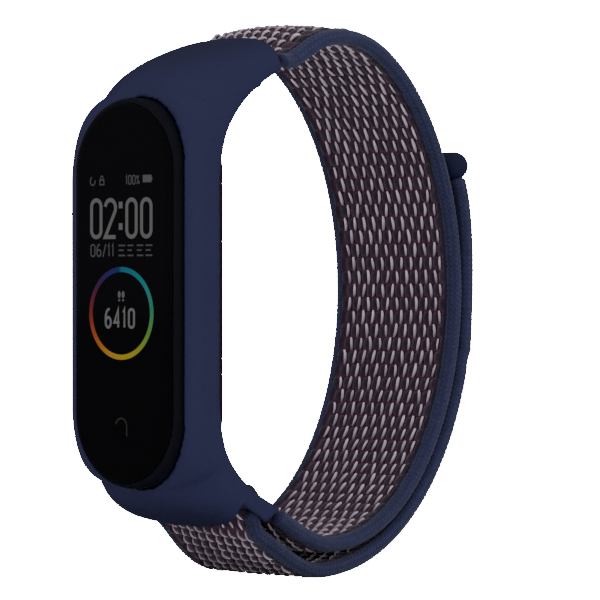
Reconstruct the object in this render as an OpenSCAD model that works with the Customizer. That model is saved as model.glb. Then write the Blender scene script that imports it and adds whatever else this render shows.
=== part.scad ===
// Fitness tracker band: a capsule-shaped tracker in a one-piece moulded holder,
// on a woven loop strap that closes with hook and loop tape.
// +X runs along the wrist, the screen faces -Y, +Z is the capsule's long way.
// The origin is the middle of the wrist opening.

/* [Capsule] */
// Width of the tracker capsule
capsule_w = 17.9; // [17:0.1:22]
// Length of the tracker capsule
capsule_l = 46.9; // [38:0.1:58]
// Thickness of the capsule, glass to sensor dome
capsule_t = 12; // [11.4:0.1:14.5]
// Wall of the capsule's two housings
case_wall = 0.9; // [0.7:0.05:1.1]
// Thickness of the cover glass
glass_t = 0.9; // [0.7:0.05:1.1]
// Width of the flat part of the glass
glass_flat_w = 14.2; // [11:0.1:15]
// Radius of the optical sensor's window
sensor_r = 4.6; // [3.8:0.1:4.9]
// Radius of each charging contact
contact_r = 1.2; // [0.9:0.05:1.5]
// Distance between the two charging contacts
contact_gap = 5.4; // [4:0.1:6.4]

/* [Inside the capsule] */
// Width of the battery
battery_w = 11.6; // [9:0.1:13]
// Length of the battery
battery_l = 24; // [18:0.1:26]
// Thickness of the battery
battery_t = 3.4; // [2.4:0.1:3.8]
// Radius of the vibration motor
motor_r = 4; // [3:0.1:4.5]
// Thickness of the vibration motor
motor_t = 2.9; // [2.5:0.1:3.2]
// Thickness of the main circuit board
board_t = 0.8; // [0.6:0.1:1]
// Width of the display
display_w = 12.4; // [10:0.1:13.6]
// Length of the display
display_l = 25.6; // [20:0.1:30]

/* [Holder] */
// Distance from the wrist opening's middle to the glass
face_y = 30; // [29:0.1:33]
// How far the glass stands proud of the holder's rim
glass_proud = 1.2; // [0.6:0.1:2]
// Wall of the holder beside the window
rim_w = 1.9; // [1.3:0.1:2.5]
// Gap between the capsule and the window's edge
window_gap = 0.25; // [0.2:0.01:0.5]
// Running clearance of the capsule in its seat
seat_gap = 0.06; // [0.03:0.01:0.1]
// Depth of the holder's middle, rim to wrist side
holder_t = 5.2; // [5:0.1:6.5]
// Thickness of the apron that covers the strap's end
apron_t = 1; // [0.8:0.1:1.4]
// Thickness of the bar that the strap turns round
bar_t = 0.9; // [0.8:0.1:1.2]

/* [Strap] */
// Width of the woven strap between its edge cords
web_w = 17.1; // [14:0.1:18]
// Thickness of the woven strap
web_t = 1.5; // [1.2:0.1:1.8]
// Diameter of the round edge cords
cord_d = 1.9; // [1.6:0.1:2.3]
// Clearance of the strap in the holder's slots
web_gap = 0.1; // [0.05:0.01:0.15]
// Distance from the wrist opening's middle to the back of the inner layer
back_y = 19.8; // [16:0.1:24]
// Height of the strap's top above the capsule's end
loop_rise = 9.7; // [8:0.1:14]
// Drop of the inner layer below the capsule's other end
loop_drop = 8.1; // [7.5:0.1:12]
// Gap between the inner and the outer layer under the wrist
loop_gap = 1.2; // [0.8:0.1:3]
// Diameter of the bar on the strap's end
tip_d = 3.6; // [3:0.1:4.4]

/* [Hidden] */
$fn = 48;

fabric = [0.23, 0.15, 0.24];
navy = [0.16, 0.18, 0.30];
eps = 0.01;

// ---------------------------------------------------------------- curves
function bezier(p, t) = pow(1 - t, 3) * p[0] + 3 * t * pow(1 - t, 2) * p[1]
    + 3 * t * t * (1 - t) * p[2] + pow(t, 3) * p[3];
function curve(p, n, first = 0) = [for (i = [first:n]) bezier(p, i / n)];
function unit(v) = v / norm(v);
function mix(a, b, t) = a + (b - a) * t;
// Direction of travel at point i of an open line, and its left-hand normal
function along(p, i) = unit(p[min(i + 1, len(p) - 1)] - p[max(i - 1, 0)]);
function left(d) = [-d[1], d[0]];
// A line widened into a closed outline, t thick
function band(p, t) = concat(
    [for (i = [0:len(p) - 1]) p[i] + left(along(p, i)) * t / 2],
    [for (i = [len(p) - 1:-1:0]) p[i] - left(along(p, i)) * t / 2]);
function shifted(p, d) = [for (i = [0:len(p) - 1]) p[i] + left(along(p, i)) * d];

// Extrudes a [y, z] outline across the strap
module across(w) {
    rotate([90, 0, 90]) linear_extrude(w, center = true) children();
}

// An eight-sided tube along a [y, z] line at one x, its flats facing the strap
module tube(p, d, x) {
    n = len(p);
    r = d / 2 / cos(22.5);
    points = [for (i = [0:n - 1]) let (s = left(along(p, i))) for (k = [0:7])
        let (a = 22.5 + 45 * k, q = p[i] + s * r * sin(a)) [x + r * cos(a), q[0], q[1]]];
    faces = concat(
        [[for (k = [7:-1:0]) k]],
        [for (i = [0:n - 2], k = [0:7]) let (m = (k + 1) % 8)
            [i * 8 + k, i * 8 + m, i * 8 + 8 + m, i * 8 + 8 + k]],
        [[for (k = [0:7]) (n - 1) * 8 + k]]);
    polyhedron(points, faces, convexity = 6);
}

// ---------------------------------------------------------------- capsule places
// The capsule is drawn with z as depth below the glass and y towards its key end
case_r = capsule_w / 2;
straight = capsule_l - capsule_w;
waist = 0.45 * capsule_t;
module in_case() {
    translate([0, -face_y, 0]) rotate([-90, 0, 0]) children();
}

// A profile of [radius, depth] swept round the capsule's rounded-end outline
module stadium(profile, length = straight) {
    rotate([0, 0, 90]) for (s = [0, 180]) rotate([0, 0, s])
        translate([length / 2, 0, 0]) rotate([0, 0, -90]) rotate_extrude(angle = 180) polygon(profile);
    rotate([90, 0, 0]) linear_extrude(length, center = true) {
        polygon(profile);
        mirror([1, 0]) polygon(profile);
    }
}

// A plate with round ends: half width r, from depth z0 to z1
module stadium_plate(r, z0, z1, length = straight) {
    translate([0, 0, z0]) linear_extrude(z1 - z0) {
        square([2 * r, length], center = true);
        for (s = [-1, 1]) translate([0, s * length / 2]) circle(r);
    }
}

module block(size, at) {
    translate([at[0] - size[0] / 2, at[1] - size[1] / 2, at[2]]) cube(size);
}

glass_r = case_r - 0.65;
lip_z = 0.5;
film_t = 0.15;
gasket_t = 0.2;
ledge_z = glass_t + gasket_t;
ledge_r = display_w / 2 + 1;
ledge_t = 0.9;
inner_r = case_r - case_wall;
neck_r = case_r - 0.5;
back_z = capsule_t - 1;
back_r = neck_r - 2.9;
spigot_t = 0.6;
spigot_h = 0.9;
display_z = glass_t + film_t;
display_t = 0.95;
foam_t = 0.25;
frame_z = display_z + display_t + foam_t;
frame_t = 0.35;
battery_z = frame_z + frame_t + 0.05;
board_z = battery_z + battery_t + 0.1;
board_r = inner_r - 0.9;
chip_z = board_z + board_t;
chip_t = 0.7;
battery_y = 2;
motor_y = battery_y - battery_l / 2 - motor_r - 0.5;
sensor_z = back_z - case_wall - 1.5;
sensor_board_t = 0.5;
part_z = sensor_z + sensor_board_t;
contact_y = straight / 2 - 1.5;

// ---------------------------------------------------------------- holder places
rim_y = -face_y + glass_proud;
window_r = case_r + window_gap;
holder_w = 2 * (window_r + rim_w);
end_z = capsule_l / 2;
seat_y = -face_y + waist;
wrist_y = rim_y + holder_t;
web_half = web_w / 2;
slot_w = web_w + 2 * web_gap;
arm_w = max(1.6, cord_d);
end_w = slot_w + 2 * arm_w;

// The outer line of the holder at x = 0, from the middle to each apron's tip
top_front = [[rim_y, straight / 2], [rim_y, end_z + 4.2], [rim_y + 6.6, end_z + 4.8],
    [rim_y + 17.6, end_z + 8]];
low_front = [[rim_y, -straight / 2], [rim_y, -end_z - 3.6], [rim_y + 5.6, -end_z - 2.3],
    [rim_y + 11.3, -end_z - 5.1]];
// The wrist side of the holder, from the middle to each end
top_wrist = [[wrist_y, end_z - 13.5], [wrist_y, end_z - 5.4], [wrist_y + 3.2, end_z - 0.4],
    [wrist_y + 9.2, end_z + 2.9]];
low_wrist = [[wrist_y, -end_z + 13.5], [wrist_y, -end_z + 5.4], [wrist_y + 3.2, -end_z + 0.4],
    [wrist_y + 10.1, -end_z - 2.4]];
top_tip = top_front[3];
low_tip = low_front[3];
top_slope = 27;
low_slope = 31;
// Inside the holder the top slot follows the apron, flatter than the strap beyond it
slot_slope = 17;
top_in = [cos(slot_slope), sin(slot_slope)];
top_along = [cos(top_slope), sin(top_slope)];
low_along = [cos(low_slope), -sin(low_slope)];

// Depths under the apron's outer face, at either end
web_depth = apron_t + web_gap + web_t / 2;
bar_depth = web_depth + web_t / 2 + web_gap + bar_t / 2;
under_depth = bar_depth + bar_t / 2 + web_gap + web_t / 2;
turn_r = bar_t / 2 + web_gap + web_t / 2;
top_apron_r = 18;
low_apron_r = 36;
apron_inset = 0.3;
arm_end = 1.6;
bar_l = 2.2;
join_l = 0.4;
top_bar_at = -7;
low_bar_at = -1.4;

// How far along its slope the top apron's rounded edge lies beside the web, where the cords come out
cord_gap = 0.59;
cord_start = sqrt(top_apron_r * top_apron_r - web_half * web_half) - top_apron_r - apron_inset + cord_gap;

// Turns 2D children so that +x runs along the strap and +y points out of the band
module at_end(tip, dir, side) {
    translate(tip) rotate(atan2(dir[1], dir[0])) flipped(side) children();
}
module flipped(side) {
    if (side > 0) children();
    else mirror([0, 1]) children();
}
// The same for a point
function end_point(tip, dir, side, a, d) = tip + dir * a + left(dir) * side * d;

// ---------------------------------------------------------------- strap lines
top_mid_z = end_z + loop_rise - cord_d / 2;
low_mid_z = -end_z - loop_drop + cord_d / 2;
inner_back = back_y - cord_d / 2;
tail_gap = 0.3;
outer_back = back_y + tail_gap + cord_d / 2;
mid_z = 0.6;
k = 0.5523;
top_leave = end_point(top_tip, top_in, 1, 0.6, -web_depth);
low_leave = end_point(low_tip, low_along, -1, arm_end + 0.4, -under_depth);
crown_y = -3.4;

top_line = concat(
    [end_point(top_tip, top_in, 1, top_bar_at, -web_depth)],
    curve([top_leave, top_leave + top_along * 2.6, [crown_y - 3.2, top_mid_z], [crown_y, top_mid_z]], 8),
    curve([[crown_y, top_mid_z], [crown_y + k * (inner_back - crown_y), top_mid_z],
        [inner_back, mid_z + k * (top_mid_z - mid_z)], [inner_back, mid_z]], 14, 1));
low_line = concat(
    curve([[inner_back, mid_z], [inner_back, mid_z + k * (low_mid_z - mid_z)],
        [crown_y + k * (inner_back - crown_y), low_mid_z], [crown_y, low_mid_z]], 14, 1),
    curve([[crown_y, low_mid_z], [crown_y - 3.6, low_mid_z],
        low_leave + low_along * 2.4, low_leave], 8, 1),
    [end_point(low_tip, low_along, -1, low_bar_at + join_l, -under_depth)]);
top_turn = [for (a = [-90:-15:-270]) end_point(top_tip, top_in, 1,
    top_bar_at + turn_r * cos(a), -bar_depth + turn_r * sin(a))];
inner_line = concat(
    [end_point(top_tip, top_in, 1, top_bar_at + bar_l - 0.4, -under_depth)],
    [for (i = [0:len(top_turn) - 2]) top_turn[i]], top_line, low_line);

// The outer layer leaves the slot, turns under the low bar and climbs the back
low_turn = [for (a = [-90:-15:-270]) end_point(low_tip, low_along, -1,
    low_bar_at + turn_r * cos(a), -bar_depth + turn_r * sin(a))];
// Past the low apron's edge the outer layer swells outwards
swell = 0.7;
out_start = end_point(low_tip, low_along, -1, 0.1, -web_depth);
out_leave = end_point(low_tip, low_along, -1, 1.2, -web_depth + swell);
out_low_z = low_mid_z - cord_d - loop_gap;
out_crown = -5.5;
hinge_z = -7;
out_curve = curve([[out_crown, out_low_z], [out_crown + 0.58 * (outer_back - out_crown), out_low_z],
    [outer_back, 0.52 * out_low_z], [outer_back, 0]], 20);
out_line = concat(
    curve([out_leave, out_leave + low_along * 3.2, [out_crown - 3.6, out_low_z],
        [out_crown, out_low_z]], 8),
    [for (i = [1:len(out_curve) - 1]) if (out_curve[i][1] < hinge_z - 0.6) out_curve[i]]);
hinge_point = [outer_back - 0.38, hinge_z];
outer_line = concat([end_point(low_tip, low_along, -1, low_bar_at + join_l, -under_depth)],
    [for (i = [0:len(low_turn) - 2]) low_turn[i]],
    [end_point(low_tip, low_along, -1, low_bar_at, -web_depth), out_start], out_line, [hinge_point]);

// The tail continues past the hinge to the tip bar
tip_z = 15.8;
hinge_gap = 0.4;
tip_at = [outer_back - 2, tip_z];
tail_line = curve([hinge_point + [0.02, hinge_gap], [outer_back + 0.1, hinge_z + 6.4],
    tip_at - unit([-2.6, 6.6]) * 7, tip_at - unit([-2.6, 6.6]) * (tip_d / 2 - 0.2)], 12);
tip_centre = tip_at + [0.75, 0.3];

// ---------------------------------------------------------------- holder
// One cross-section of the holder: from wrist-side point b to outer point f, half width w
function section(b, f, w, crown) = [for (i = [0:27])
    let (a = 360 * i / 28, c = cos(a), s = sin(a),
        e = s > 0 ? crown : 3.4,
        x = w * sign(c) * pow(abs(c), 2 / max(2.4, min(crown, 8))),
        v = s > 0 ? mix(0.32, 1, pow(s, 2 / e)) : mix(0.32, 0, pow(-s, 2 / e)),
        p = mix(b, f, v)) [x, p[0], p[1]]];
function front_at(t) = t < 0 ? bezier(low_front, -t) : bezier(top_front, t);
function wrist_at(t) = t < 0 ? bezier(low_wrist, -t) : bezier(top_wrist, t);
function half_w(t) = mix(holder_w, max(end_w, holder_w), pow(abs(t), 0.8)) / 2;
// A square edge beside the window, a round one past its ends, flatter ones over the slots
top_crown = 3;
low_crown = 5;
function crown_at(t) = abs(t) < 0.4 ? mix(8, 2, abs(t) / 0.4)
    : mix(2, t < 0 ? low_crown : top_crown, (abs(t) - 0.4) / 0.6);

module holder_body() {
    steps = [for (i = [-11:-1]) i / 11, for (i = [0:11]) i / 11];
    rows = [for (t = steps) section(wrist_at(t), front_at(t), half_w(t), crown_at(t))];
    n = len(rows);
    faces = concat([[for (j = [27:-1:0]) j]],
        [for (i = [0:n - 2], j = [0:27]) let (m = (j + 1) % 28)
            [i * 28 + j, i * 28 + m, (i + 1) * 28 + m, (i + 1) * 28 + j]],
        [[for (j = [0:27]) (n - 1) * 28 + j]]);
    polyhedron([for (r = rows, p = r) p], faces, convexity = 8);
}

// The channel for the strap round one bar, open to the wrist side
module slot_shape(bar_at) {
    r = turn_r + web_t / 2 + web_gap;
    difference() {
        union() {
            translate([bar_at, -bar_depth]) circle(r);
            translate([bar_at, -bar_depth]) square([20, r]);
            translate([bar_at - r, -bar_depth - 8]) square([20, 8]);
        }
        translate([bar_at, -bar_depth]) circle(bar_t / 2);
        translate([bar_at, -bar_depth - bar_t / 2]) square([bar_l, bar_t]);
        translate([bar_at + bar_l, -bar_depth]) circle(bar_t / 2);
    }
}

module holder_case() color(navy) difference() {
    holder_body();
    in_case() {
        stadium_plate(window_r, -3, glass_proud + 1.2);
        stadium_plate(case_r + seat_gap, 0, waist);
        stadium_plate(neck_r + seat_gap, waist - 1, capsule_t + 6);
    }
    across(slot_w) at_end(top_tip, top_in, 1) slot_shape(top_bar_at);
    across(slot_w) at_end(low_tip, low_along, -1) slot_shape(low_bar_at);
    // The arms beside the strap end short of the top apron's rounded edge
    difference() {
        across(60) at_end(top_tip, top_along, 1) translate([-7, -14]) square([14, 20]);
        apron_edge(top_tip, top_along, top_apron_r);
    }
    // The low apron's edge is an arc between the arms, which stand past it as two lobes
    difference() {
        across(slot_w) at_end(low_tip, low_along, -1) translate([-7, -web_depth]) square([20, web_depth + 8]);
        apron_edge(low_tip, low_along, low_apron_r);
    }
}

// A round bar square to the apron, whose edge it trims
module apron_edge(tip, dir, r) {
    p = tip - dir * (r + apron_inset);
    translate([0, p[0], p[1]]) rotate([atan2(dir[1], dir[0]), 0, 0])
        cylinder(r = r, h = 40, center = true, $fn = 96);
}

// ---------------------------------------------------------------- strap
module strap_inner_layer() color(fabric) across(web_w) polygon(band(inner_line, web_t));
module strap_outer_layer() color(fabric) across(web_w) polygon(band(outer_line, web_t));
module strap_tail() color(fabric) across(web_w) polygon(band(tail_line, web_t));

// Only the stretch of a line that lies clear of the holder's arms
function clear_of(p, tip, dir, a) = [for (q = p) if ((q - tip) * dir > a) q];
module cord_pair(p) {
    for (s = [-1, 1]) tube(p, cord_d, s * (web_half + cord_d / 2));
}
module edge_cords_inner() color(navy) cord_pair(concat(
    [end_point(top_tip, top_in, 1, cord_start, -web_depth)],
    clear_of(top_line, top_tip, top_along, -1),
    clear_of(low_line, low_tip, low_along, arm_end + 0.75)));
module edge_cords_outer() color(navy) cord_pair(concat(out_line, [hinge_point]));
module edge_cords_tail() color(navy) cord_pair(tail_line);

patch_t = 0.35;
module hook_patch() color("dimgray") across(web_w - 3)
    polygon(band(shifted([for (i = [2:9]) tail_line[i]], web_t / 2 + patch_t / 2), patch_t));
// Loop pile woven on the inner layer where the hooks land, in line with the web
module loop_patch() color(fabric) across(web_w - 3) {
    far = [for (q = inner_line) if (q[0] > 12 && q[1] > hinge_z - 1 && q[1] < tip_z - 1) q];
    polygon(band(shifted(far, web_t / 2 + 0.1), 0.2));
}
module tip_bar() color(navy) translate([0, tip_centre[0], tip_centre[1]]) {
    l = web_w + 2 * cord_d - tip_d;
    rotate([0, 90, 0]) cylinder(d = tip_d, h = l, center = true);
    for (s = [-1, 1]) translate([s * l / 2, 0, 0]) sphere(d = tip_d);
}
// The strap's sewn end, held against the bar's wrist side
module anchor_stitches() color(navy) for (i = [-3:3])
    translate([i * web_w / 8, 0, 0]) across(1.2) at_end(top_tip, top_in, 1)
        translate([top_bar_at + bar_l - 1.6, -under_depth - web_t / 2 - 0.15]) square([0.9, 0.15]);

// ---------------------------------------------------------------- capsule shells
module cover_glass() color([0.03, 0.03, 0.04]) in_case() stadium([[0, 0], [glass_flat_w / 2, 0],
    [mix(glass_flat_w / 2, glass_r, 0.5), 0.08], [mix(glass_flat_w / 2, glass_r, 0.85), 0.24],
    [glass_r, 0.5], [glass_r, glass_t], [0, glass_t]]);
module glass_gasket() color("black") in_case() stadium([[ledge_r + 0.05, glass_t],
    [glass_r - 0.05, glass_t], [glass_r - 0.05, ledge_z], [ledge_r + 0.05, ledge_z]]);
module front_housing() color([0.05, 0.05, 0.07]) in_case() stadium([
    [glass_r + 0.04, lip_z], [case_r - 0.4, lip_z + 0.2], [case_r - 0.14, lip_z + 0.55],
    [case_r, lip_z + 1.2], [case_r, waist], [inner_r, waist], [inner_r, ledge_z + ledge_t],
    [ledge_r, ledge_z + ledge_t], [ledge_r, ledge_z], [glass_r + 0.04, ledge_z]]);
module rear_housing() color([0.05, 0.05, 0.07]) in_case() difference() {
    stadium([[0, back_z], [back_r, back_z], [back_r + 1.2, back_z - 0.5], [neck_r - 0.9, back_z - 1.6],
        [neck_r - 0.3, back_z - 3], [neck_r, waist], [inner_r - 0.03, waist],
        [inner_r - 0.03, waist - spigot_h], [inner_r - spigot_t, waist - spigot_h],
        [inner_r - spigot_t, back_z - 3.4], [back_r - 0.3, back_z - case_wall], [0, back_z - case_wall]]);
    translate([0, 0, back_z - 2]) cylinder(r = sensor_r + 0.03, h = 4);
    for (s = [-1, 1]) translate([s * contact_gap / 2, contact_y, back_z - 2])
        cylinder(r = contact_r + 0.02, h = 4);
}

// ---------------------------------------------------------------- display stack
module touch_film() color("gray") in_case()
    stadium_plate(ledge_r - 0.3, glass_t, display_z, straight - 1);
module display_panel() color([0.08, 0.08, 0.1]) in_case()
    block([display_w, display_l, display_t], [0, 0, display_z]);
module display_foam() color("dimgray") in_case()
    block([display_w - 0.6, display_l - 0.6, foam_t], [0, 0, display_z + display_t]);
flex_y = max(display_l / 2 + 1, battery_y + battery_l / 2 + 1.2);
module display_flex() color("orange") in_case() {
    block([6, flex_y - display_l / 2 + 0.15, 0.15], [0, (flex_y + display_l / 2) / 2 + 0.075, display_z + 0.4]);
    block([6, 0.15, board_z - display_z - 0.55], [0, flex_y + 0.075, display_z + 0.55]);
}

// ---------------------------------------------------------------- frame, battery, boards
module inner_frame() color("silver") in_case() difference() {
    stadium_plate(inner_r - spigot_t - 0.25, frame_z, frame_z + frame_t, straight - 1);
    block([6.6, 0.75, 3], [0, flex_y + 0.075, frame_z - 1]);
}
module battery_cell() color("lightgray") in_case()
    block([battery_w, battery_l, battery_t], [0, battery_y, battery_z]);
module battery_guard_board() color("darkgreen") in_case()
    block([battery_w - 3, 0.6, battery_t - 1], [0, battery_y + battery_l / 2 + 0.35, battery_z + 0.4]);
module main_board() color("darkgreen") in_case()
    stadium_plate(board_r, board_z, board_z + board_t, straight - 1);
module processor_chip() color([0.15, 0.15, 0.15]) in_case()
    block([5, 5, chip_t], [0, -8.6, chip_z]);
module memory_chip() color([0.15, 0.15, 0.15]) in_case()
    block([3, 4, chip_t], [4.2, -14.4, chip_z]);
module power_chip() color([0.15, 0.15, 0.15]) in_case()
    block([3, 3, chip_t], [-4, 8.4, chip_z]);
module motion_sensor_chip() color([0.2, 0.2, 0.2]) in_case()
    block([2.5, 2.5, chip_t], [4, 8.4, chip_z]);
module shield_can() color("silver") in_case() difference() {
    block([7, 7, chip_t + 0.4], [0, -8.6, chip_z]);
    block([6.5, 6.5, chip_t + 0.2], [0, -8.6, chip_z - eps]);
}
module antenna() color("gold") in_case() translate([0, -straight / 2, battery_z + 0.6])
    rotate([0, 0, 210]) rotate_extrude(angle = 120) translate([inner_r - spigot_t - 0.45, 0])
        square([0.2, board_z - battery_z - 1.2]);

// ---------------------------------------------------------------- heart-rate sensor
module sensor_board() color("darkgreen") in_case() translate([0, 0, sensor_z])
    cylinder(r = sensor_r + 0.6, h = sensor_board_t);
module sensor_flex() color("orange") in_case()
    block([3, 0.15, sensor_z - chip_z], [0, sensor_r - 0.4, chip_z]);
module green_leds() color("lime") in_case() for (s = [-1, 1])
    block([1.1, 0.8, 0.5], [s * 0.8, 0, part_z]);
module photodiodes() color("slategray") in_case() for (s = [-1, 1])
    block([1.9, 1.9, 0.5], [0, s * 2.75, part_z]);
module light_barrier() color([0.1, 0.1, 0.1]) in_case() for (s = [-1, 1])
    block([5.4, 0.5, back_z - case_wall - part_z], [0, s * 1.2, part_z]);
// A clear dome that fills the hole in the rear housing
module sensor_window() color([0.1, 0.1, 0.12]) in_case() {
    rise = capsule_t - back_z;
    dome_r = (sensor_r * sensor_r + rise * rise) / (2 * rise);
    translate([0, 0, back_z - case_wall]) cylinder(r = sensor_r, h = case_wall);
    intersection() {
        translate([0, 0, capsule_t - dome_r]) sphere(dome_r, $fn = 96);
        translate([0, 0, back_z]) cylinder(r = sensor_r + 1, h = rise + 1);
    }
}

// ---------------------------------------------------------------- charging
module charging_contacts() color("gold") in_case() for (s = [-1, 1])
    translate([s * contact_gap / 2, contact_y, back_z - case_wall - 0.2])
        cylinder(r = contact_r, h = case_wall + 0.2);
module contact_springs() color("gold") in_case() for (s = [-1, 1])
    block([0.8, 1.4, back_z - case_wall - 0.2 - chip_z], [s * contact_gap / 2, contact_y, chip_z]);

// ---------------------------------------------------------------- vibration motor
// The motor stands on the inner frame, its spindle along the capsule's depth
motor_wall = 0.25;
shaft_r = 0.4;
shaft_gap = 0.04;
pad_t = 0.1;
module at_motor() in_case() translate([0, motor_y, battery_z + pad_t]) children();
module motor_pad() color("white") at_motor() translate([0, 0, -pad_t])
    cylinder(r = motor_r - 0.4, h = pad_t);
module motor_can() color("silver") at_motor() difference() {
    cylinder(r = motor_r, h = motor_t - motor_wall);
    translate([0, 0, motor_wall]) cylinder(r = motor_r - motor_wall, h = motor_t);
}
module motor_cap() color("gray") at_motor() translate([0, 0, motor_t - motor_wall])
    cylinder(r = motor_r, h = motor_wall);
module motor_shaft() color("silver") at_motor() translate([0, 0, motor_wall])
    cylinder(r = shaft_r, h = motor_t - 2 * motor_wall);
// A half-round weight that hangs towards the key end, on a full ring round the spindle
module motor_rotor() color("goldenrod") at_motor() {
    h = motor_t - 2 * motor_wall - 0.5;
    translate([0, 0, motor_wall + 0.25]) difference() {
        union() {
            cylinder(r = 1.1, h = h);
            intersection() {
                cylinder(r = motor_r - motor_wall - 0.25, h = h);
                translate([-motor_r, 0, 0]) cube([2 * motor_r, motor_r, h]);
            }
        }
        translate([0, 0, -1]) cylinder(r = shaft_r + shaft_gap, h = h + 2);
    }
}

holder_case();
strap_inner_layer();
strap_outer_layer();
strap_tail();
edge_cords_inner();
edge_cords_outer();
edge_cords_tail();
hook_patch();
loop_patch();
tip_bar();
anchor_stitches();
cover_glass();
glass_gasket();
touch_film();
display_panel();
display_foam();
display_flex();
front_housing();
rear_housing();
inner_frame();
battery_cell();
battery_guard_board();
main_board();
processor_chip();
memory_chip();
power_chip();
motion_sensor_chip();
shield_can();
antenna();
sensor_board();
sensor_flex();
green_leds();
photodiodes();
light_barrier();
sensor_window();
charging_contacts();
contact_springs();
motor_can();
motor_cap();
motor_shaft();
motor_rotor();
motor_pad();
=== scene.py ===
import math

import bmesh
import bpy
import numpy as np
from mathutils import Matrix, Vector


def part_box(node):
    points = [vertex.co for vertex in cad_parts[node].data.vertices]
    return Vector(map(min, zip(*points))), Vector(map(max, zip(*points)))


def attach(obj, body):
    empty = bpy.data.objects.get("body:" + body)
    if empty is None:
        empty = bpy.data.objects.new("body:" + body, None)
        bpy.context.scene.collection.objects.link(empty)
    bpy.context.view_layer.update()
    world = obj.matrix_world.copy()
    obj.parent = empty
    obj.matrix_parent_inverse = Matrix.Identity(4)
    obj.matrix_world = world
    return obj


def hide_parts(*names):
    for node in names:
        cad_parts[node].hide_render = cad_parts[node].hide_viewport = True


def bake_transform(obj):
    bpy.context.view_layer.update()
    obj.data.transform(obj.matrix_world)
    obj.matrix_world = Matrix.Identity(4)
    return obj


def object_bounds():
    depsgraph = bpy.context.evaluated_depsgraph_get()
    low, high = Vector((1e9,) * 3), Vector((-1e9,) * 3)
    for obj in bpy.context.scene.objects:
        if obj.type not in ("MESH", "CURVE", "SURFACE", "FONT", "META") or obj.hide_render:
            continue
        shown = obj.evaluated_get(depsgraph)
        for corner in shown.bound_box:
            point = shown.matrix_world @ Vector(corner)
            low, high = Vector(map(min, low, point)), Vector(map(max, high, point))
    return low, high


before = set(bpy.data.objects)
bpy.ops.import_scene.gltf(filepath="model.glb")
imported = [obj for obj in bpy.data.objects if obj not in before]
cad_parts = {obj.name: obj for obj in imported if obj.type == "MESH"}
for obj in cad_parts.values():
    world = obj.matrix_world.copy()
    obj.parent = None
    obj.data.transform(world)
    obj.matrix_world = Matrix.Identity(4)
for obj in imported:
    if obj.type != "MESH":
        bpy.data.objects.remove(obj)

bl_info = {
    "name": "Woven strap fitness tracker",
    "version": (1, 0, 0),
    "blender": (4, 5, 0),
    "location": "View3D > Sidebar > Tracker",
    "description": "Finishes a fitness tracker, its moulded holder and its woven loop strap",
    "category": "Object",
}

MM = 0.001
CAD_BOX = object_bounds()


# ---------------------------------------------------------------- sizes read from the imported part
def box_mm(node):
    """The lowest and highest corner of a CAD node, in millimetres."""
    low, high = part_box(node)
    return np.array(low) / MM, np.array(high) / MM


GLASS_LOW, GLASS_HIGH = box_mm("cover_glass")
CASE_HIGH = box_mm("front_housing")[1]
REAR_HIGH = box_mm("rear_housing")[1]
HOLDER_LOW, HOLDER_HIGH = box_mm("holder_case")
SENSOR_LOW, SENSOR_HIGH = box_mm("sensor_window")
FACE_Y = GLASS_LOW[1]
GLASS_R = GLASS_HIGH[0]
GLASS_T = GLASS_HIGH[1] - FACE_Y
CASE_R = CASE_HIGH[0]
HALF = CASE_HIGH[2] - CASE_R
END_Z = CASE_HIGH[2]
WAIST = CASE_HIGH[1] - FACE_Y
NECK_R = REAR_HIGH[0]
BACK = REAR_HIGH[1] - FACE_Y
WEB_HALF = box_mm("strap_inner_layer")[1][0]
CORD_X = (WEB_HALF + box_mm("edge_cords_inner")[1][0]) / 2
CORD_R = CORD_X - WEB_HALF
RIM_Y = HOLDER_LOW[1]
HOLDER_HALF = HOLDER_HIGH[0]


def srgb(red, green, blue):
    """A display colour from 0 to 255 as the linear colour that the shaders use."""
    scaled = [c / 255 for c in (red, green, blue)]
    return tuple(c / 12.92 if c <= 0.04045 else ((c + 0.055) / 1.055) ** 2.4 for c in scaled)


# ---------------------------------------------------------------- settings a user would change
class HolderSettings(bpy.types.PropertyGroup):
    """Sizes and colour of the moulded holder."""
    apron: bpy.props.FloatProperty(name="Apron", description="Thickness of the apron over the strap, in mm",
                                   default=1.0, min=0.5)
    detail: bpy.props.FloatProperty(name="Detail", description="Size of the mesh's cells, in mm",
                                    default=0.25, min=0.1)
    colour: bpy.props.FloatVectorProperty(name="Colour", description="Colour of the moulded plastic",
                                          subtype="COLOR", default=srgb(44, 45, 86))


class StrapSettings(bpy.types.PropertyGroup):
    """Sizes and colours of the woven strap and its cords."""
    column: bpy.props.FloatProperty(name="Column", description="Distance between stitch columns, in mm",
                                    default=1.66, min=0.5)
    row: bpy.props.FloatProperty(name="Row", description="Distance between stitch rows, in mm",
                                 default=1.74, min=0.5)
    mesh_step: bpy.props.FloatProperty(name="Mesh step", description="Size of the weave's cells, in mm",
                                       default=0.24, min=0.1)
    stitch: bpy.props.FloatProperty(name="Stitch", description="Thickness of the pale thread, in mm",
                                    default=0.42, min=0.1)
    pale: bpy.props.FloatVectorProperty(name="Pale thread", description="Colour of the stitches",
                                        subtype="COLOR", default=srgb(252, 234, 248))
    dark: bpy.props.FloatVectorProperty(name="Dark yarn", description="Colour of the dark bundles",
                                        subtype="COLOR", default=srgb(40, 25, 50))
    maroon: bpy.props.FloatVectorProperty(name="Maroon yarn", description="Colour between the bundles",
                                          subtype="COLOR", default=srgb(86, 32, 66))
    cord: bpy.props.FloatVectorProperty(name="Cord", description="Colour of the edge cords",
                                        subtype="COLOR", default=srgb(42, 46, 86))


class ScreenSettings(bpy.types.PropertyGroup):
    """Look of the lit screen."""
    grey: bpy.props.FloatVectorProperty(name="Marks", description="Colour of the digits and marks",
                                        subtype="COLOR", default=srgb(88, 88, 88))
    glow: bpy.props.FloatProperty(name="Glow", description="Strength of the lit marks", default=1.0, min=0)


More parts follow.
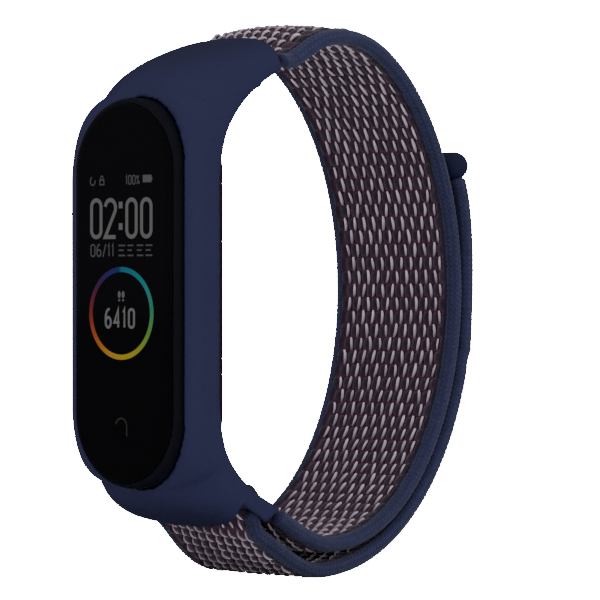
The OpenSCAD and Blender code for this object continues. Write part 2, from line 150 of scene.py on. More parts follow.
# ---------------------------------------------------------------- meshes
def new_piece(name, points, faces, material, smooth=True):
    """A mesh object from points in millimetres, its place in its mesh."""
    mesh = bpy.data.meshes.new(name)
    mesh.from_pydata((np.asarray(points, float) * MM).tolist(), [], faces)
    mesh.update()
    mesh.shade_smooth() if smooth else mesh.shade_flat()
    mesh.materials.append(material)
    piece = bpy.data.objects.new(name, mesh)
    bpy.context.scene.collection.objects.link(piece)
    return piece


def put_on(piece, body, slot, *replaced):
    """The piece rides on a CAD body and stands for CAD nodes, which are hidden; the slot is not used."""
    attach(piece, body)
    if replaced:
        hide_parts(*replaced)


def grid_faces(rows, columns, wrap=False, start=0):
    """Quads over rows of points, each row closed on itself if wrap is set."""
    faces = []
    for i in range(rows - 1):
        for j in range(columns if wrap else columns - 1):
            m = (j + 1) % columns
            faces.append((start + i * columns + j, start + i * columns + m,
                          start + (i + 1) * columns + m, start + (i + 1) * columns + j))
    return faces


def closed_tube_faces(rows, columns):
    """A tube's quads and its two end caps."""
    last = (rows - 1) * columns
    caps = [tuple(range(columns - 1, -1, -1)), tuple(range(last, last + columns))]
    return grid_faces(rows, columns, wrap=True) + caps


def recalculated(piece):
    """Merges a closed mesh's doubles and turns its faces outwards."""
    shape = bmesh.new()
    shape.from_mesh(piece.data)
    bmesh.ops.remove_doubles(shape, verts=shape.verts, dist=1e-7)
    bmesh.ops.recalc_face_normals(shape, faces=shape.faces)
    shape.to_mesh(piece.data)
    shape.free()
    return piece


def row_solid(name, rows, material):
    """A closed solid from rows of points, the same number in each, with flat ends."""
    faces = closed_tube_faces(len(rows), len(rows[0]))
    return recalculated(new_piece(name, np.vstack(rows), faces, material))


def boolean(piece, name, operation, tool):
    """An exact boolean modifier with another piece."""
    cut = piece.modifiers.new(name, "BOOLEAN")
    cut.operation, cut.solver, cut.object = operation, "EXACT", tool
    return cut


def evaluated_copy(piece, name):
    """The mesh that a piece's modifiers make, as a plain piece; the first one is removed."""
    seen = piece.evaluated_get(bpy.context.evaluated_depsgraph_get())
    mesh = bpy.data.meshes.new_from_object(seen)
    old = piece.data
    bpy.data.objects.remove(piece)
    if old.users == 0:
        bpy.data.meshes.remove(old)
    mesh.name = name
    made = bpy.data.objects.new(name, mesh)
    bpy.context.scene.collection.objects.link(made)
    return made


def mesh_points(mesh):
    """A mesh's points in millimetres."""
    points = np.zeros(len(mesh.vertices) * 3, np.float32)
    mesh.vertices.foreach_get("co", points)
    return points.reshape(-1, 3).astype(float) / MM


def set_points(mesh, points):
    """Moves a mesh's points, given in millimetres."""
    mesh.vertices.foreach_set("co", (np.asarray(points) * MM).astype(np.float32).ravel())
    mesh.update()


def point_colour(mesh, name, colours):
    """Stores one colour for each point."""
    layer = mesh.color_attributes.new(name, "FLOAT_COLOR", "POINT")
    rgba = np.ones((len(mesh.vertices), 4), np.float32)
    rgba[:, :3] = colours
    layer.data.foreach_set("color", rgba.ravel())


def uv_from_points(mesh, name, uv):
    """A UV map from one pair of numbers for each point."""
    corners = np.zeros(len(mesh.loops), np.int32)
    mesh.loops.foreach_get("vertex_index", corners)
    layer = mesh.uv_layers.new(name=name)
    layer.uv.foreach_set("vector", np.asarray(uv, np.float32)[corners].ravel())


# ---------------------------------------------------------------- lines of the strap
def side_line(node, from_top):
    """The middle line [y, z] of a CAD strap layer, read from the outline of its side face."""
    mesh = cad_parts[node].data
    points = mesh_points(mesh)
    side = points[:, 0].max() - 1e-3
    names, merged = {}, []
    for p in points:
        merged.append(names.setdefault(tuple(np.round(p, 4)), len(names)))
    spots = np.array(list(names))
    counted = {}
    for face in mesh.polygons:
        ring = [merged[i] for i in face.vertices]
        if all(spots[i][0] > side for i in ring):
            for pair in zip(ring, ring[1:] + ring[:1]):
                counted[tuple(sorted(pair))] = counted.get(tuple(sorted(pair)), 0) + 1
    beside = {}
    for a, b in (pair for pair, times in counted.items() if times == 1):
        beside.setdefault(a, []).append(b)
        beside.setdefault(b, []).append(a)
    loop = [min(beside)]
    before = None
    while True:
        ahead = [i for i in beside[loop[-1]] if i != before]
        before = loop[-1]
        if ahead[0] == loop[0]:
            break
        loop.append(ahead[0])
    outline = spots[loop][:, 1:]
    count = len(outline)
    best = None
    for first in range(count):
        one = outline[[(first + i) % count for i in range(count // 2)]]
        two = outline[[(first - 1 - i) % count for i in range(count // 2)]]
        widths = np.linalg.norm(one - two, axis=1)
        uneven = widths.max() - widths.min()
        if best is None or uneven < best[0]:
            best = (uneven, (one + two) / 2, widths.mean())
    line = best[1]
    if (line[0][1] > line[-1][1]) != from_top:
        line = line[::-1]
    return line, best[2]


class Path:
    """A smooth line in the [y, z] plane through given points, measured along its length."""

    def __init__(self, points, step=0.1):
        p = np.asarray(points, float)
        gap = np.linalg.norm(np.diff(p, axis=0), axis=1)
        slope = np.diff(p, axis=0) / gap[:, None]
        pull = np.empty_like(p)
        pull[0], pull[-1] = slope[0], slope[-1]
        share = gap[:-1] / (gap[:-1] + gap[1:])
        pull[1:-1] = slope[:-1] * (1 - share)[:, None] + slope[1:] * share[:, None]
        fine = [p[:1]]
        for i, length in enumerate(gap):
            t = np.linspace(0, 1, max(3, int(length / step) + 2))[1:, None]
            fine.append((2 * t**3 - 3 * t**2 + 1) * p[i] + (t**3 - 2 * t**2 + t) * length * pull[i]
                        + (3 * t**2 - 2 * t**3) * p[i + 1] + (t**3 - t**2) * length * pull[i + 1])
        fine = np.vstack(fine)
        along = np.concatenate([[0], np.cumsum(np.linalg.norm(np.diff(fine, axis=0), axis=1))])
        self.length = along[-1]
        self.s = np.linspace(0, self.length, int(self.length / step) + 1)
        self.p = np.column_stack([np.interp(self.s, along, fine[:, i]) for i in (0, 1)])
        turn = np.gradient(self.p, self.s, axis=0)
        for _ in range(3):
            turn[1:-1] = (turn[:-2] + 2 * turn[1:-1] + turn[2:]) / 4
        self.t = turn / np.linalg.norm(turn, axis=1)[:, None]

    def lay(self, flat):
        """Points [across, along, height] on the flat strap, laid on the line in the row frame."""
        x, s, h = np.asarray(flat, float).T
        at = [np.interp(s, self.s, a) for a in (self.p[:, 0], self.p[:, 1], self.t[:, 0], self.t[:, 1])]
        size = np.hypot(at[2], at[3])
        along = [at[2] / size, at[3] / size]
        over = s - np.clip(s, 0, self.length)
        y = at[0] - along[1] * h + along[0] * over
        z = at[1] + along[0] * h + along[1] * over
        return arched(np.column_stack([x, y, z]))

    def slim(self, s):
        """How much of its thickness the strap keeps where it is drawn round a bar."""
        spots = np.column_stack([np.interp(s, self.s, self.p[:, i]) for i in (0, 1)])
        reach = np.minimum(*(np.linalg.norm(spots - bar, axis=1) for bar in (TOP_BAR, LOW_BAR)))
        return 1 - 0.32 * (1 - smooth_step(2.6, 6.0, reach))

    def nearest(self, spots):
        """The places along the line that are nearest to the given [y, z] points."""
        return np.array([self.s[np.argmin(((self.p - q) ** 2).sum(1))] for q in spots])


# The holder's outer and wrist-side lines [y, z] at its middle, as Bezier points
HOLDER_T = 5.2
WRIST_Y = RIM_Y + HOLDER_T
TOP_FRONT = np.array([[RIM_Y, HALF], [RIM_Y, END_Z + 4.2], [RIM_Y + 6.6, END_Z + 4.8],
                      [RIM_Y + 17.6, END_Z + 8]])
LOW_FRONT = np.array([[RIM_Y, -HALF], [RIM_Y, -END_Z - 3.6], [RIM_Y + 5.6, -END_Z - 2.3],
                      [RIM_Y + 11.3, -END_Z - 5.1]])
TOP_WRIST = np.array([[WRIST_Y, END_Z - 13.5], [WRIST_Y, END_Z - 5.4], [WRIST_Y + 3.8, END_Z - 0.6],
                      [WRIST_Y + 9.9, END_Z + 2.7]])
LOW_WRIST = np.array([[WRIST_Y, -END_Z + 13.5], [WRIST_Y, -END_Z + 5.4], [WRIST_Y + 3.9, -END_Z + 0.6],
                      [WRIST_Y + 10.9, -END_Z - 2.1]])
TOP_TIP, LOW_TIP = TOP_FRONT[3], LOW_FRONT[3]
TOP_SLOPE, LOW_SLOPE = math.radians(27), math.radians(31)
TOP_ALONG = np.array([math.cos(TOP_SLOPE), math.sin(TOP_SLOPE)])
LOW_ALONG = np.array([math.cos(LOW_SLOPE), -math.sin(LOW_SLOPE)])
TOP_OUT = np.array([-TOP_ALONG[1], TOP_ALONG[0]])
LOW_OUT = np.array([LOW_ALONG[1], -LOW_ALONG[0]])
SLOT_SLOPE = math.radians(17)
SLOT_ALONG = np.array([math.cos(SLOT_SLOPE), math.sin(SLOT_SLOPE)])
SLOT_OUT = np.array([-SLOT_ALONG[1], SLOT_ALONG[0]])
# Depths under an apron's outer face of the strap's middle and of the bar's, and the bar's place
WEB_DEPTH, BAR_DEPTH = 1.85, 3.15
TOP_BAR_AT, LOW_BAR_AT = -7.0, -1.4
BAR_R, BAR_L = 0.45, 2.2
TOP_BAR = TOP_TIP + SLOT_ALONG * (TOP_BAR_AT + BAR_L / 2) - SLOT_OUT * BAR_DEPTH
LOW_BAR = LOW_TIP + LOW_ALONG * (LOW_BAR_AT + BAR_L / 2) - LOW_OUT * BAR_DEPTH
# How far the strap's edges sink beside each apron, how far its +X edge is pressed outwards at the
# low end, and how much narrower the strap is drawn in its slots
TOP_ARCH, LOW_ARCH = 1.45, 0.3
LOW_TWIST = 1.1
ARCH_REACH = 18
SQUEEZE = 0.06


def smooth_step(low, high, value):
    """From 0 at low to 1 at high, easing at both ends."""
    t = np.clip((value - low) / (high - low), 0, 1)
    return t * t * (3 - 2 * t)


def arched(points):
    """Bends the strap beside the holder: its edges sink, its low end twists and both ends narrow."""
    points = np.array(points, float)
    for tip, along, out, arch, twist in ((TOP_TIP, TOP_ALONG, TOP_OUT, TOP_ARCH, 0),
                                         (LOW_TIP, LOW_ALONG, LOW_OUT, LOW_ARCH, LOW_TWIST)):
        away = points[:, 1:] - tip
        ahead = away @ along
        gone = np.where(ahead > 0, np.linalg.norm(away, axis=1), 0)
        near = points[:, 2] * tip[1] > 0
        share = (1 - smooth_step(0, ARCH_REACH, gone)) * (1 - smooth_step(0, 5, -ahead)) * near
        across = points[:, 0] / CORD_X
        points[:, 0] *= 1 - SQUEEZE * (1 - smooth_step(0, 8, gone)) * near
        sink = arch * np.minimum(np.abs(across), 1.2) ** 2
        sink -= twist * across * smooth_step(-2.2, 1.4, ahead)
        points[:, 1:] -= (sink * share)[:, None] * out
    return points


# ---------------------------------------------------------------- node trees
class Nodes:
    """Adds nodes to a tree; a value that is a socket is joined, any other is set."""

    def __init__(self, tree):
        self.tree = tree

    def add(self, kind, values=None, **settings):
        node = self.tree.nodes.new(kind)
        for name, value in settings.items():
            setattr(node, name, value)
        for name, value in (values or {}).items():
            self.join(value, node.inputs[name])
        return node

    def join(self, value, socket):
        if isinstance(value, bpy.types.NodeSocket):
            self.tree.links.new(value, socket)
        else:
            socket.default_value = value

    def math(self, operation, *values):
        node = self.add("ShaderNodeMath", operation=operation)
        for i, value in enumerate(values):
            self.join(value, node.inputs[i])
        return node.outputs[0]

    def mix(self, share, one, two):
        node = self.add("ShaderNodeMix", data_type="RGBA", clamp_factor=True)
        for name, value in ((0, share), (6, one), (7, two)):
            self.join(value, node.inputs[name])
        return node.outputs[2]

    def relief(self, shader, height, distance, strength):
        node = self.add("ShaderNodeBump", {"Height": height, "Distance": distance, "Strength": strength})
        self.join(node.outputs["Normal"], shader.inputs["Normal"])


def rgba(colour, scale=1.0):
    """A colour with its alpha, darkened or lightened by a factor."""
    return tuple(min(1, c * scale) for c in tuple(colour)[:3]) + (1,)


def new_group(name, inputs, outputs, kind="ShaderNodeTree"):
    """A node group with named sockets: (label, type, first value) in and (label, type) out."""
    group = bpy.data.node_groups.new(name, kind)
    for label, socket_type, value in inputs:
        socket = group.interface.new_socket(name=label, in_out="INPUT", socket_type=socket_type)
        if value is not None:
            socket.default_value = value
    for label, socket_type in outputs:
        group.interface.new_socket(name=label, in_out="OUTPUT", socket_type=socket_type)
    nodes = Nodes(group)
    return group, nodes, nodes.add("NodeGroupInput").outputs, nodes.add("NodeGroupOutput").inputs


def new_geometry_tree(name, inputs):
    """A geometry node group; its inputs are (label, first value) with whole numbers as integers."""
    kinds = {int: "NodeSocketInt", float: "NodeSocketFloat", type(None): "NodeSocketMaterial"}
    geometry = ("Geometry", "NodeSocketGeometry")
    sockets = [geometry + (None,)] + [(label, kinds[type(value)], value) for label, value in inputs]
    return new_group(name, sockets, [geometry], "GeometryNodeTree")


def grow_into(n, sown, material, out):
    """Ends a geometry tree: real meshes, smooth, in the given material."""
    real = n.add("GeometryNodeRealizeInstances", {"Geometry": sown})
    smooth = n.add("GeometryNodeSetShadeSmooth", {"Geometry": real.outputs[0]})
    dressed = n.add("GeometryNodeSetMaterial", {"Geometry": smooth.outputs[0], "Material": material})
    n.join(dressed.outputs[0], out[0])


def flat_field(n, given, column_pitch, row_pitch):
    """A grid of points about the origin, and its length."""
    wide = n.math("MULTIPLY", n.math("SUBTRACT", given["Columns"], 1.0), column_pitch)
    long = n.math("MULTIPLY", n.math("SUBTRACT", given["Rows"], 1.0), row_pitch)
    field = n.add("GeometryNodeMeshGrid", {"Size X": wide, "Size Y": long, "Vertices X": given["Columns"],
                                           "Vertices Y": given["Rows"]})
    return field.outputs["Mesh"], long


def moulded_grain_group():
    """Fine moulded texture with slow blotches, for plastics, metals and boards."""
    group, n, given, out = new_group("moulded_grain", [
        ("Vector", "NodeSocketVector", None), ("Grain per m", "NodeSocketFloat", 6000.0),
        ("Blotch per m", "NodeSocketFloat", 90.0), ("Roughness", "NodeSocketFloat", 0.5),
        ("Roughness spread", "NodeSocketFloat", 0.1)],
        [("Height", "NodeSocketFloat"), ("Blotch", "NodeSocketFloat"), ("Roughness", "NodeSocketFloat")])
    grain = n.add("ShaderNodeTexNoise", {"Vector": given["Vector"], "Scale": given["Grain per m"],
                                         "Detail": 3.0, "Roughness": 0.6})
    blotch = n.add("ShaderNodeTexNoise", {"Vector": given["Vector"], "Scale": given["Blotch per m"],
                                          "Detail": 4.0, "Roughness": 0.55})
    swing = n.math("MULTIPLY", n.math("SUBTRACT", blotch.outputs["Fac"], 0.5), given["Roughness spread"])
    n.join(grain.outputs["Fac"], out["Height"])
    n.join(blotch.outputs["Fac"], out["Blotch"])
    n.join(n.math("ADD", given["Roughness"], swing), out["Roughness"])
    return group


def yarn_fibre_group():
    """Thin fibres that run along a yarn, from a map in millimetres across and along."""
    group, n, given, out = new_group("yarn_fibres", [
        ("Map", "NodeSocketVector", None), ("Across per mm", "NodeSocketFloat", 9.0),
        ("Along per mm", "NodeSocketFloat", 1.2), ("Slant", "NodeSocketFloat", 0.0)],
        [("Height", "NodeSocketFloat"), ("Shade", "NodeSocketFloat")])
    parts = n.add("ShaderNodeSeparateXYZ", {0: given["Map"]})
    slanted = n.math("ADD", parts.outputs[0], n.math("MULTIPLY", parts.outputs[1], given["Slant"]))
    place = n.add("ShaderNodeCombineXYZ", {
        0: n.math("MULTIPLY", slanted, given["Across per mm"]),
        1: n.math("MULTIPLY", parts.outputs[1], given["Along per mm"])})
    fine = n.add("ShaderNodeTexNoise", {"Vector": place.outputs[0], "Scale": 1.0, "Detail": 3.0})
    wide = n.add("ShaderNodeTexNoise", {"Vector": given["Map"], "Scale": 0.55, "Detail": 2.0})
    n.join(fine.outputs["Fac"], out["Height"])
    n.join(n.math("MULTIPLY_ADD", n.math("SUBTRACT", wide.outputs["Fac"], 0.5), 0.5, fine.outputs["Fac"]),
           out["Shade"])
    return group


GROUPS = {}


def group_node(nodes, maker, values):
    """A shared group's node; the group itself is built once."""
    if maker.__name__ not in GROUPS:
        GROUPS[maker.__name__] = maker()
    node = nodes.add("ShaderNodeGroup", node_tree=GROUPS[maker.__name__])
    for name, value in values.items():
        nodes.join(value, node.inputs[name])
    return node


def new_material(name, **constants):
    """A material with a Principled shader whose plain values are set on its own sockets."""
    material = bpy.data.materials.new(name)
    material.use_nodes = True
    nodes = Nodes(material.node_tree)
    shader = material.node_tree.nodes["Principled BSDF"]
    for socket, value in constants.items():
        shader.inputs[socket.replace("_", " ")].default_value = value
    return material, nodes, shader


def grained(name, colour, roughness=0.5, spread=0.12, grain=6000.0, blotch=90.0, bump=0.00001,
            contrast=0.25, **constants):
    """Moulded, metal or board finish: slow colour blotches, uneven roughness and a fine bump."""
    material, n, shader = new_material(name, **constants)
    place = n.add("ShaderNodeTexCoord").outputs["Object"]
    texture = group_node(n, moulded_grain_group, {
        "Vector": place, "Grain per m": grain, "Blotch per m": blotch,
        "Roughness": roughness, "Roughness spread": spread})
    n.join(n.mix(texture.outputs["Blotch"], rgba(colour, 1 - contrast), rgba(colour, 1 + contrast)),
           shader.inputs["Base Color"])
    n.join(texture.outputs["Roughness"], shader.inputs["Roughness"])
    n.relief(shader, texture.outputs["Height"], bump, 0.6)
    return material


def yarn(name, attribute, slant=0.0, contrast=0.35, bump=0.00006, across=9.0, **constants):
    """Spun yarn: its colour comes from a point colour, its fibres from the piece's own map."""
    material, n, shader = new_material(name, Roughness=0.78, **constants)
    place = n.add("ShaderNodeUVMap", uv_map="strap_map").outputs[0]
    fibres = group_node(n, yarn_fibre_group, {"Map": place, "Across per mm": across, "Slant": slant})
    tint = n.add("ShaderNodeVertexColor", layer_name=attribute).outputs["Color"]
    dim = n.add("ShaderNodeHueSaturation", {"Color": tint, "Value": 1 - contrast})
    bright = n.add("ShaderNodeHueSaturation", {"Color": tint, "Value": 1 + contrast})
    n.join(n.mix(fibres.outputs["Shade"], dim.outputs[0], bright.outputs[0]), shader.inputs["Base Color"])
    n.relief(shader, fibres.outputs["Height"], bump, 0.7)
    return material


# ---------------------------------------------------------------- the stage
# Strength of the white that the camera sees behind and under the object
WHITE = 60.0


class TRACKER_OT_studio(bpy.types.Operator):
    """Camera, pale floor and soft lights"""
    bl_idname = "tracker.studio"
    bl_label = "Studio"

    def execute(self, context):
        scene = context.scene
        lens = bpy.data.cameras.new("studio_camera")
        lens.lens = 270
        lens.sensor_width = 36
        lens.clip_start, lens.clip_end = 0.01, 100
        camera = bpy.data.objects.new("studio_camera", lens)
        camera.location = (0.3893, -0.4023, -0.0008)
        camera.rotation_euler = Vector((-0.6947, 0.7193, 0)).to_track_quat("-Z", "Y").to_euler()
        scene.collection.objects.link(camera)
        scene.camera = camera
        floor_z = CAD_BOX[0].z / MM - 0.05
        material = grained("pale_floor", srgb(246, 246, 248), roughness=0.9, contrast=0.01, grain=900.0)
        self.brighten(material)
        reach = 6000
        floor = new_piece("floor", [(-reach, -reach, floor_z), (reach, -reach, floor_z),
                                    (reach, reach, floor_z), (-reach, reach, floor_z)],
                          [(0, 1, 2, 3)], material)
        for name, place, size, power in (
                ("key_light", (0.10, -0.75, 0.85), 0.7, 17.0),
                ("side_light", (0.95, 0.15, 0.45), 0.6, 9.0),
                ("top_light", (-0.10, 0.25, 1.10), 0.9, 13.0),
                ("back_light", (-0.60, 0.85, 0.55), 0.7, 7.0)):
            lamp = bpy.data.lights.new(name, "AREA")
            lamp.shape = "DISK"
            lamp.size = size
            lamp.energy = power
            light = bpy.data.objects.new(name, lamp)
            light.location = place
            light.rotation_euler = (-Vector(place)).to_track_quat("-Z", "Y").to_euler()
            scene.collection.objects.link(light)
        self.surround(scene)
        return {"FINISHED"}

    def brighten(self, material):
        """White like the surround for the camera, and dark where the object's gloss looks."""
        n = Nodes(material.node_tree)
        shader = material.node_tree.nodes["Principled BSDF"]
        shader.inputs["Emission Color"].default_value = (1, 1, 1, 1)
        path = n.add("ShaderNodeLightPath").outputs
        seen = path["Is Camera Ray"]
        pale = shader.inputs["Base Color"].links[0].from_socket
        n.join(n.mix(path["Is Glossy Ray"], pale, (0.02, 0.02, 0.022, 1)), shader.inputs["Base Color"])
        n.join(n.math("MULTIPLY", seen, WHITE), shader.inputs["Emission Strength"])

    def surround(self, scene):
        """White behind the object, dim grey where the object's gloss looks."""
        scene.world = bpy.data.worlds.new("studio_surround")
        scene.world.use_nodes = True
        n = Nodes(scene.world.node_tree)
        seen = n.add("ShaderNodeLightPath").outputs
        background = scene.world.node_tree.nodes["Background"]
        lit = n.mix(seen["Is Glossy Ray"], (0.95, 0.95, 0.98, 1), (0.04, 0.04, 0.045, 1))
        n.join(n.mix(seen["Is Camera Ray"], lit, (WHITE, WHITE, WHITE, 1)), background.inputs["Color"])
        background.inputs["Strength"].default_value = 1.0


# ---------------------------------------------------------------- the holder
def bezier(p, t):
    """A point on a cubic curve."""
    return (1 - t) ** 3 * p[0] + 3 * t * (1 - t) ** 2 * p[1] + 3 * t * t * (1 - t) * p[2] + t**3 * p[3]


def holder_section(t, count, end_half):
    """One cross-section of the holder, from -1 at its low end to 1 at its top end."""
    front, wrist = (LOW_FRONT, LOW_WRIST) if t < 0 else (TOP_FRONT, TOP_WRIST)
    f, b = bezier(front, abs(t)), bezier(wrist, abs(t))
    end_crown = 5 if t < 0 else 3
    crown = 8 - 6 * abs(t) / 0.4 if abs(t) < 0.4 else 2 + (end_crown - 2) * (abs(t) - 0.4) / 0.6
    half = HOLDER_HALF + (end_half - HOLDER_HALF) * abs(t) ** 0.8
    a = np.arange(count) * 2 * np.pi / count
    c, s = np.cos(a), np.sin(a)
    power = np.where(s > 0, crown, 3.4)
    x = half * np.sign(c) * np.abs(c) ** (2 / max(2.4, min(crown, 8)))
    level = np.abs(s) ** (2 / power)
    v = np.where(s > 0, 0.32 + 0.68 * level, 0.32 - 0.32 * level)
    return np.column_stack([x, b[0] + (f[0] - b[0]) * v, b[1] + (f[1] - b[1]) * v])


def stadium_ring(radius, count):
    """Points [x, z] round the capsule's rounded-end outline."""
    turn = np.linspace(0, np.pi, count)
    top = np.column_stack([radius * np.cos(turn), HALF + radius * np.sin(turn)])
    return np.vstack([top, -top])


def stadium_prism(name, radius, near, far, material):
    """A cutter with the capsule's outline, between two depths behind the glass."""
    ring = stadium_ring(radius, 48)
    rows = [np.column_stack([ring[:, 0], np.full(len(ring), FACE_Y + d), ring[:, 1]]) for d in (near, far)]
    return row_solid(name, rows, material)


def strap_prism(name, outline, half, material):
    """A cutter across the strap, from an outline [y, z], arched as the strap is."""
    outline = np.asarray(outline, float)
    across = np.linspace(-half, half, 25)
    rows = [arched(np.column_stack([np.full(len(outline), x), outline])) for x in across]
    return row_solid(name, rows, material)


def end_outline(local, tip, along, out):
    """Points [along, out] at a holder's end, in the [y, z] plane."""
    return [tip + along * a + out * d for a, d in local]


def slot_outlines(bar_at, bar_depth, r):
    """The strap's channel of radius r round its bar, and the bar, as [along, out] outlines."""
    arc = [(bar_at + r * math.cos(a), -bar_depth + r * math.sin(a))
           for a in np.linspace(math.pi / 2, math.pi, 14)]
    channel = [(bar_at + 20, -bar_depth + r)] + arc + [(bar_at - r, -bar_depth - 8),
                                                       (bar_at + 20, -bar_depth - 8)]
    bar = [(bar_at + BAR_R * math.cos(a), -bar_depth + BAR_R * math.sin(a))
           for a in np.linspace(math.pi / 2, 3 * math.pi / 2, 12)]
    bar += [(bar_at + BAR_L + BAR_R * math.cos(a), -bar_depth + BAR_R * math.sin(a))
            for a in np.linspace(-math.pi / 2, math.pi / 2, 12)]
    return channel, bar


# Radii of the aprons' rounded edges, how far they lie inside the tips, half the width of a block
# that trims the whole holder, and how deep the lobes beside the low apron lie
TOP_EDGE_R, LOW_EDGE_R = 18, 17
EDGE_INSET = 0.3
TRIM_HALF = 30
LOBE_DEPTH = 1.7


def apron_trim(local, half, edge_r, tip, along, out, material, name):
    """A block that trims the arms beside the strap, short of the apron's rounded edge."""
    block = np.array(end_outline(local, tip, along, out))
    rows = [np.column_stack([np.full(len(block), x), block]) for x in (-half, half)]
    trim = row_solid(name, rows, material)
    turn = np.linspace(0, 2 * np.pi, 160, endpoint=False)
    centre = tip - along * (edge_r + EDGE_INSET)
    rings = []
    for level in (-20, 20):
        spot = centre[None, :] + (edge_r * np.sin(turn))[:, None] * along + level * out
        rings.append(np.column_stack([edge_r * np.cos(turn), spot]))
    edge = row_solid(name + "_edge", rings, material)
    boolean(trim, "edge", "DIFFERENCE", edge)
    trim = evaluated_copy(trim, name)
    bpy.data.objects.remove(edge)
    return trim


def trim_block(reach, low, high):
    """The outline [along, out] of a trimming block that starts well inside the holder."""
    return [(-7, low), (reach, low), (reach, high), (-7, high)]


class TRACKER_OT_holder(bpy.types.Operator):
    """The one-piece moulded holder with its window, slots and aprons"""
    bl_idname = "tracker.holder"
    bl_label = "Holder"

    def execute(self, context):
        choice = context.scene.tracker_holder
        material = grained("soft_touch_plastic", choice.colour, roughness=0.62, spread=0.1, grain=9000.0,
                           blotch=140.0, bump=0.000006, contrast=0.05, Specular_IOR_Level=0.35)
        end_half = WEB_HALF + 0.1 + 2 * CORD_R
        levels = np.linspace(-1, 1, 141)
        body = row_solid("holder_shell", [holder_section(t, 112, end_half) for t in levels], material)
        web_t = side_line("strap_inner_layer", True)[1]
        web_depth = choice.apron + 0.1 + web_t / 2
        cutters = [
            stadium_prism("window_cut", CASE_R + 0.25, -3, FACE_Y * -1 + RIM_Y + 1.2, material),
            stadium_prism("seat_cut", CASE_R + 0.1, 0.2, WAIST + 0.02, material),
            stadium_prism("neck_cut", NECK_R + 0.1, WAIST - 1, BACK + 7, material)]
        bars = []
        for name, bar_at, tip, along, out in (("top", TOP_BAR_AT, TOP_TIP, SLOT_ALONG, SLOT_OUT),
                                              ("low", LOW_BAR_AT, LOW_TIP, LOW_ALONG, LOW_OUT)):
            channel, bar = slot_outlines(bar_at, BAR_DEPTH, BAR_R + 0.1 + web_t + 0.14)
            cutters.append(strap_prism(name + "_slot", end_outline(channel, tip, along, out),
                                       WEB_HALF + 0.1, material))
            bars.append(strap_prism(name + "_bar", end_outline(bar, tip, along, out), WEB_HALF + 0.6,
                                    material))
        low_end = (LOW_TIP, LOW_ALONG, LOW_OUT, material)
        cutters += [
            apron_trim(trim_block(7, -14, 6), TRIM_HALF, TOP_EDGE_R, TOP_TIP, TOP_ALONG, TOP_OUT, material,
                       "top_arms_cut"),
            apron_trim(trim_block(13, -LOBE_DEPTH, 8), TRIM_HALF, LOW_EDGE_R, *low_end, "low_edge_cut"),
            apron_trim(trim_block(13, -web_depth, 8), (WEB_HALF + 0.1) * (1 - SQUEEZE), LOW_EDGE_R,
                       *low_end, "low_arms_cut")]
        cutters += self.cord_cuts(material)
        for i, cutter in enumerate(cutters):
            boolean(body, f"cut_{i}", "DIFFERENCE", cutter)
        for i, bar in enumerate(bars):
            boolean(body, f"bar_{i}", "UNION", bar)
        cells = body.modifiers.new("cells", "REMESH")
        cells.mode, cells.voxel_size, cells.use_smooth_shade = "VOXEL", choice.detail * MM, True
        soften = body.modifiers.new("soften", "SMOOTH")
        soften.factor, soften.iterations = 0.5, 4
        shell = evaluated_copy(body, "holder_shell")
        for cutter in cutters + bars:
            bpy.data.objects.remove(cutter)
        shell.data.materials.clear()
        shell.data.materials.append(material)
        put_on(shell, "holder", "holder_plastic", "holder_case")
        return {"FINISHED"}

    def cord_cuts(self, material):
        """Channels in the low arms where the outer layer's cords leave the holder."""
        path = strap_path("outer")
        start, end = path.nearest([LOW_TIP + LOW_ALONG * a - LOW_OUT * WEB_DEPTH for a in (-2.0, 4.0)])
        turn = np.arange(24) * 2 * np.pi / 24
        radius = CORD_R + 0.12
        tools = []
        for side in (-1, 1):
            ring = [(side * CORD_X + radius * math.cos(a), radius * math.sin(a)) for a in turn]
            rows = [path.lay([(x, s, h) for x, h in ring]) for s in np.linspace(start, end, 30)]
            tools.append(row_solid("cord_cut", rows, material))
        return tools


# ---------------------------------------------------------------- the woven strap
def weave_cell(x, s, choice):
    """For points on one face of the weave: place in its cell, from -0.5 to 0.5, and its row."""
    row = np.floor(s / choice.row)
    in_row = s / choice.row - row - 0.5
    shifted = x / choice.column + 0.5 * (row % 2)
    column = np.floor(shifted)
    return shifted - column - 0.5, in_row, row, column


def weave_relief(x, s, choice):
    """Height in millimetres of the dark bundles over the weave's ground, and how much bundle shows."""
    u, v, row, column = weave_cell(x, s, choice)
    across = np.clip(1 - np.abs((u - 0.1) / 0.38) ** 2.6, 0, 1)
    along = np.clip(1 - np.abs(v / 0.5) ** 3, 0, 1)
    lump = np.sqrt(across * along)
    return 0.5 * lump - 0.32, lump, row, column


LIP = 0.6
LIP_RISE = 0.26


def face_height(x, half_t):
    """Height of the weave's face: level, then lapping over the inner side of the edge cords."""
    return half_t + LIP_RISE * smooth_step(WEB_HALF - 0.9, WEB_HALF + 0.25, np.abs(x))


def drawn_in(flat, path):
    """Points [across, along, height] with the strap's thickness drawn in round the bars."""
    flat = np.array(flat, float)
    flat[:, 2] *= path.slim(flat[:, 1])
    return flat


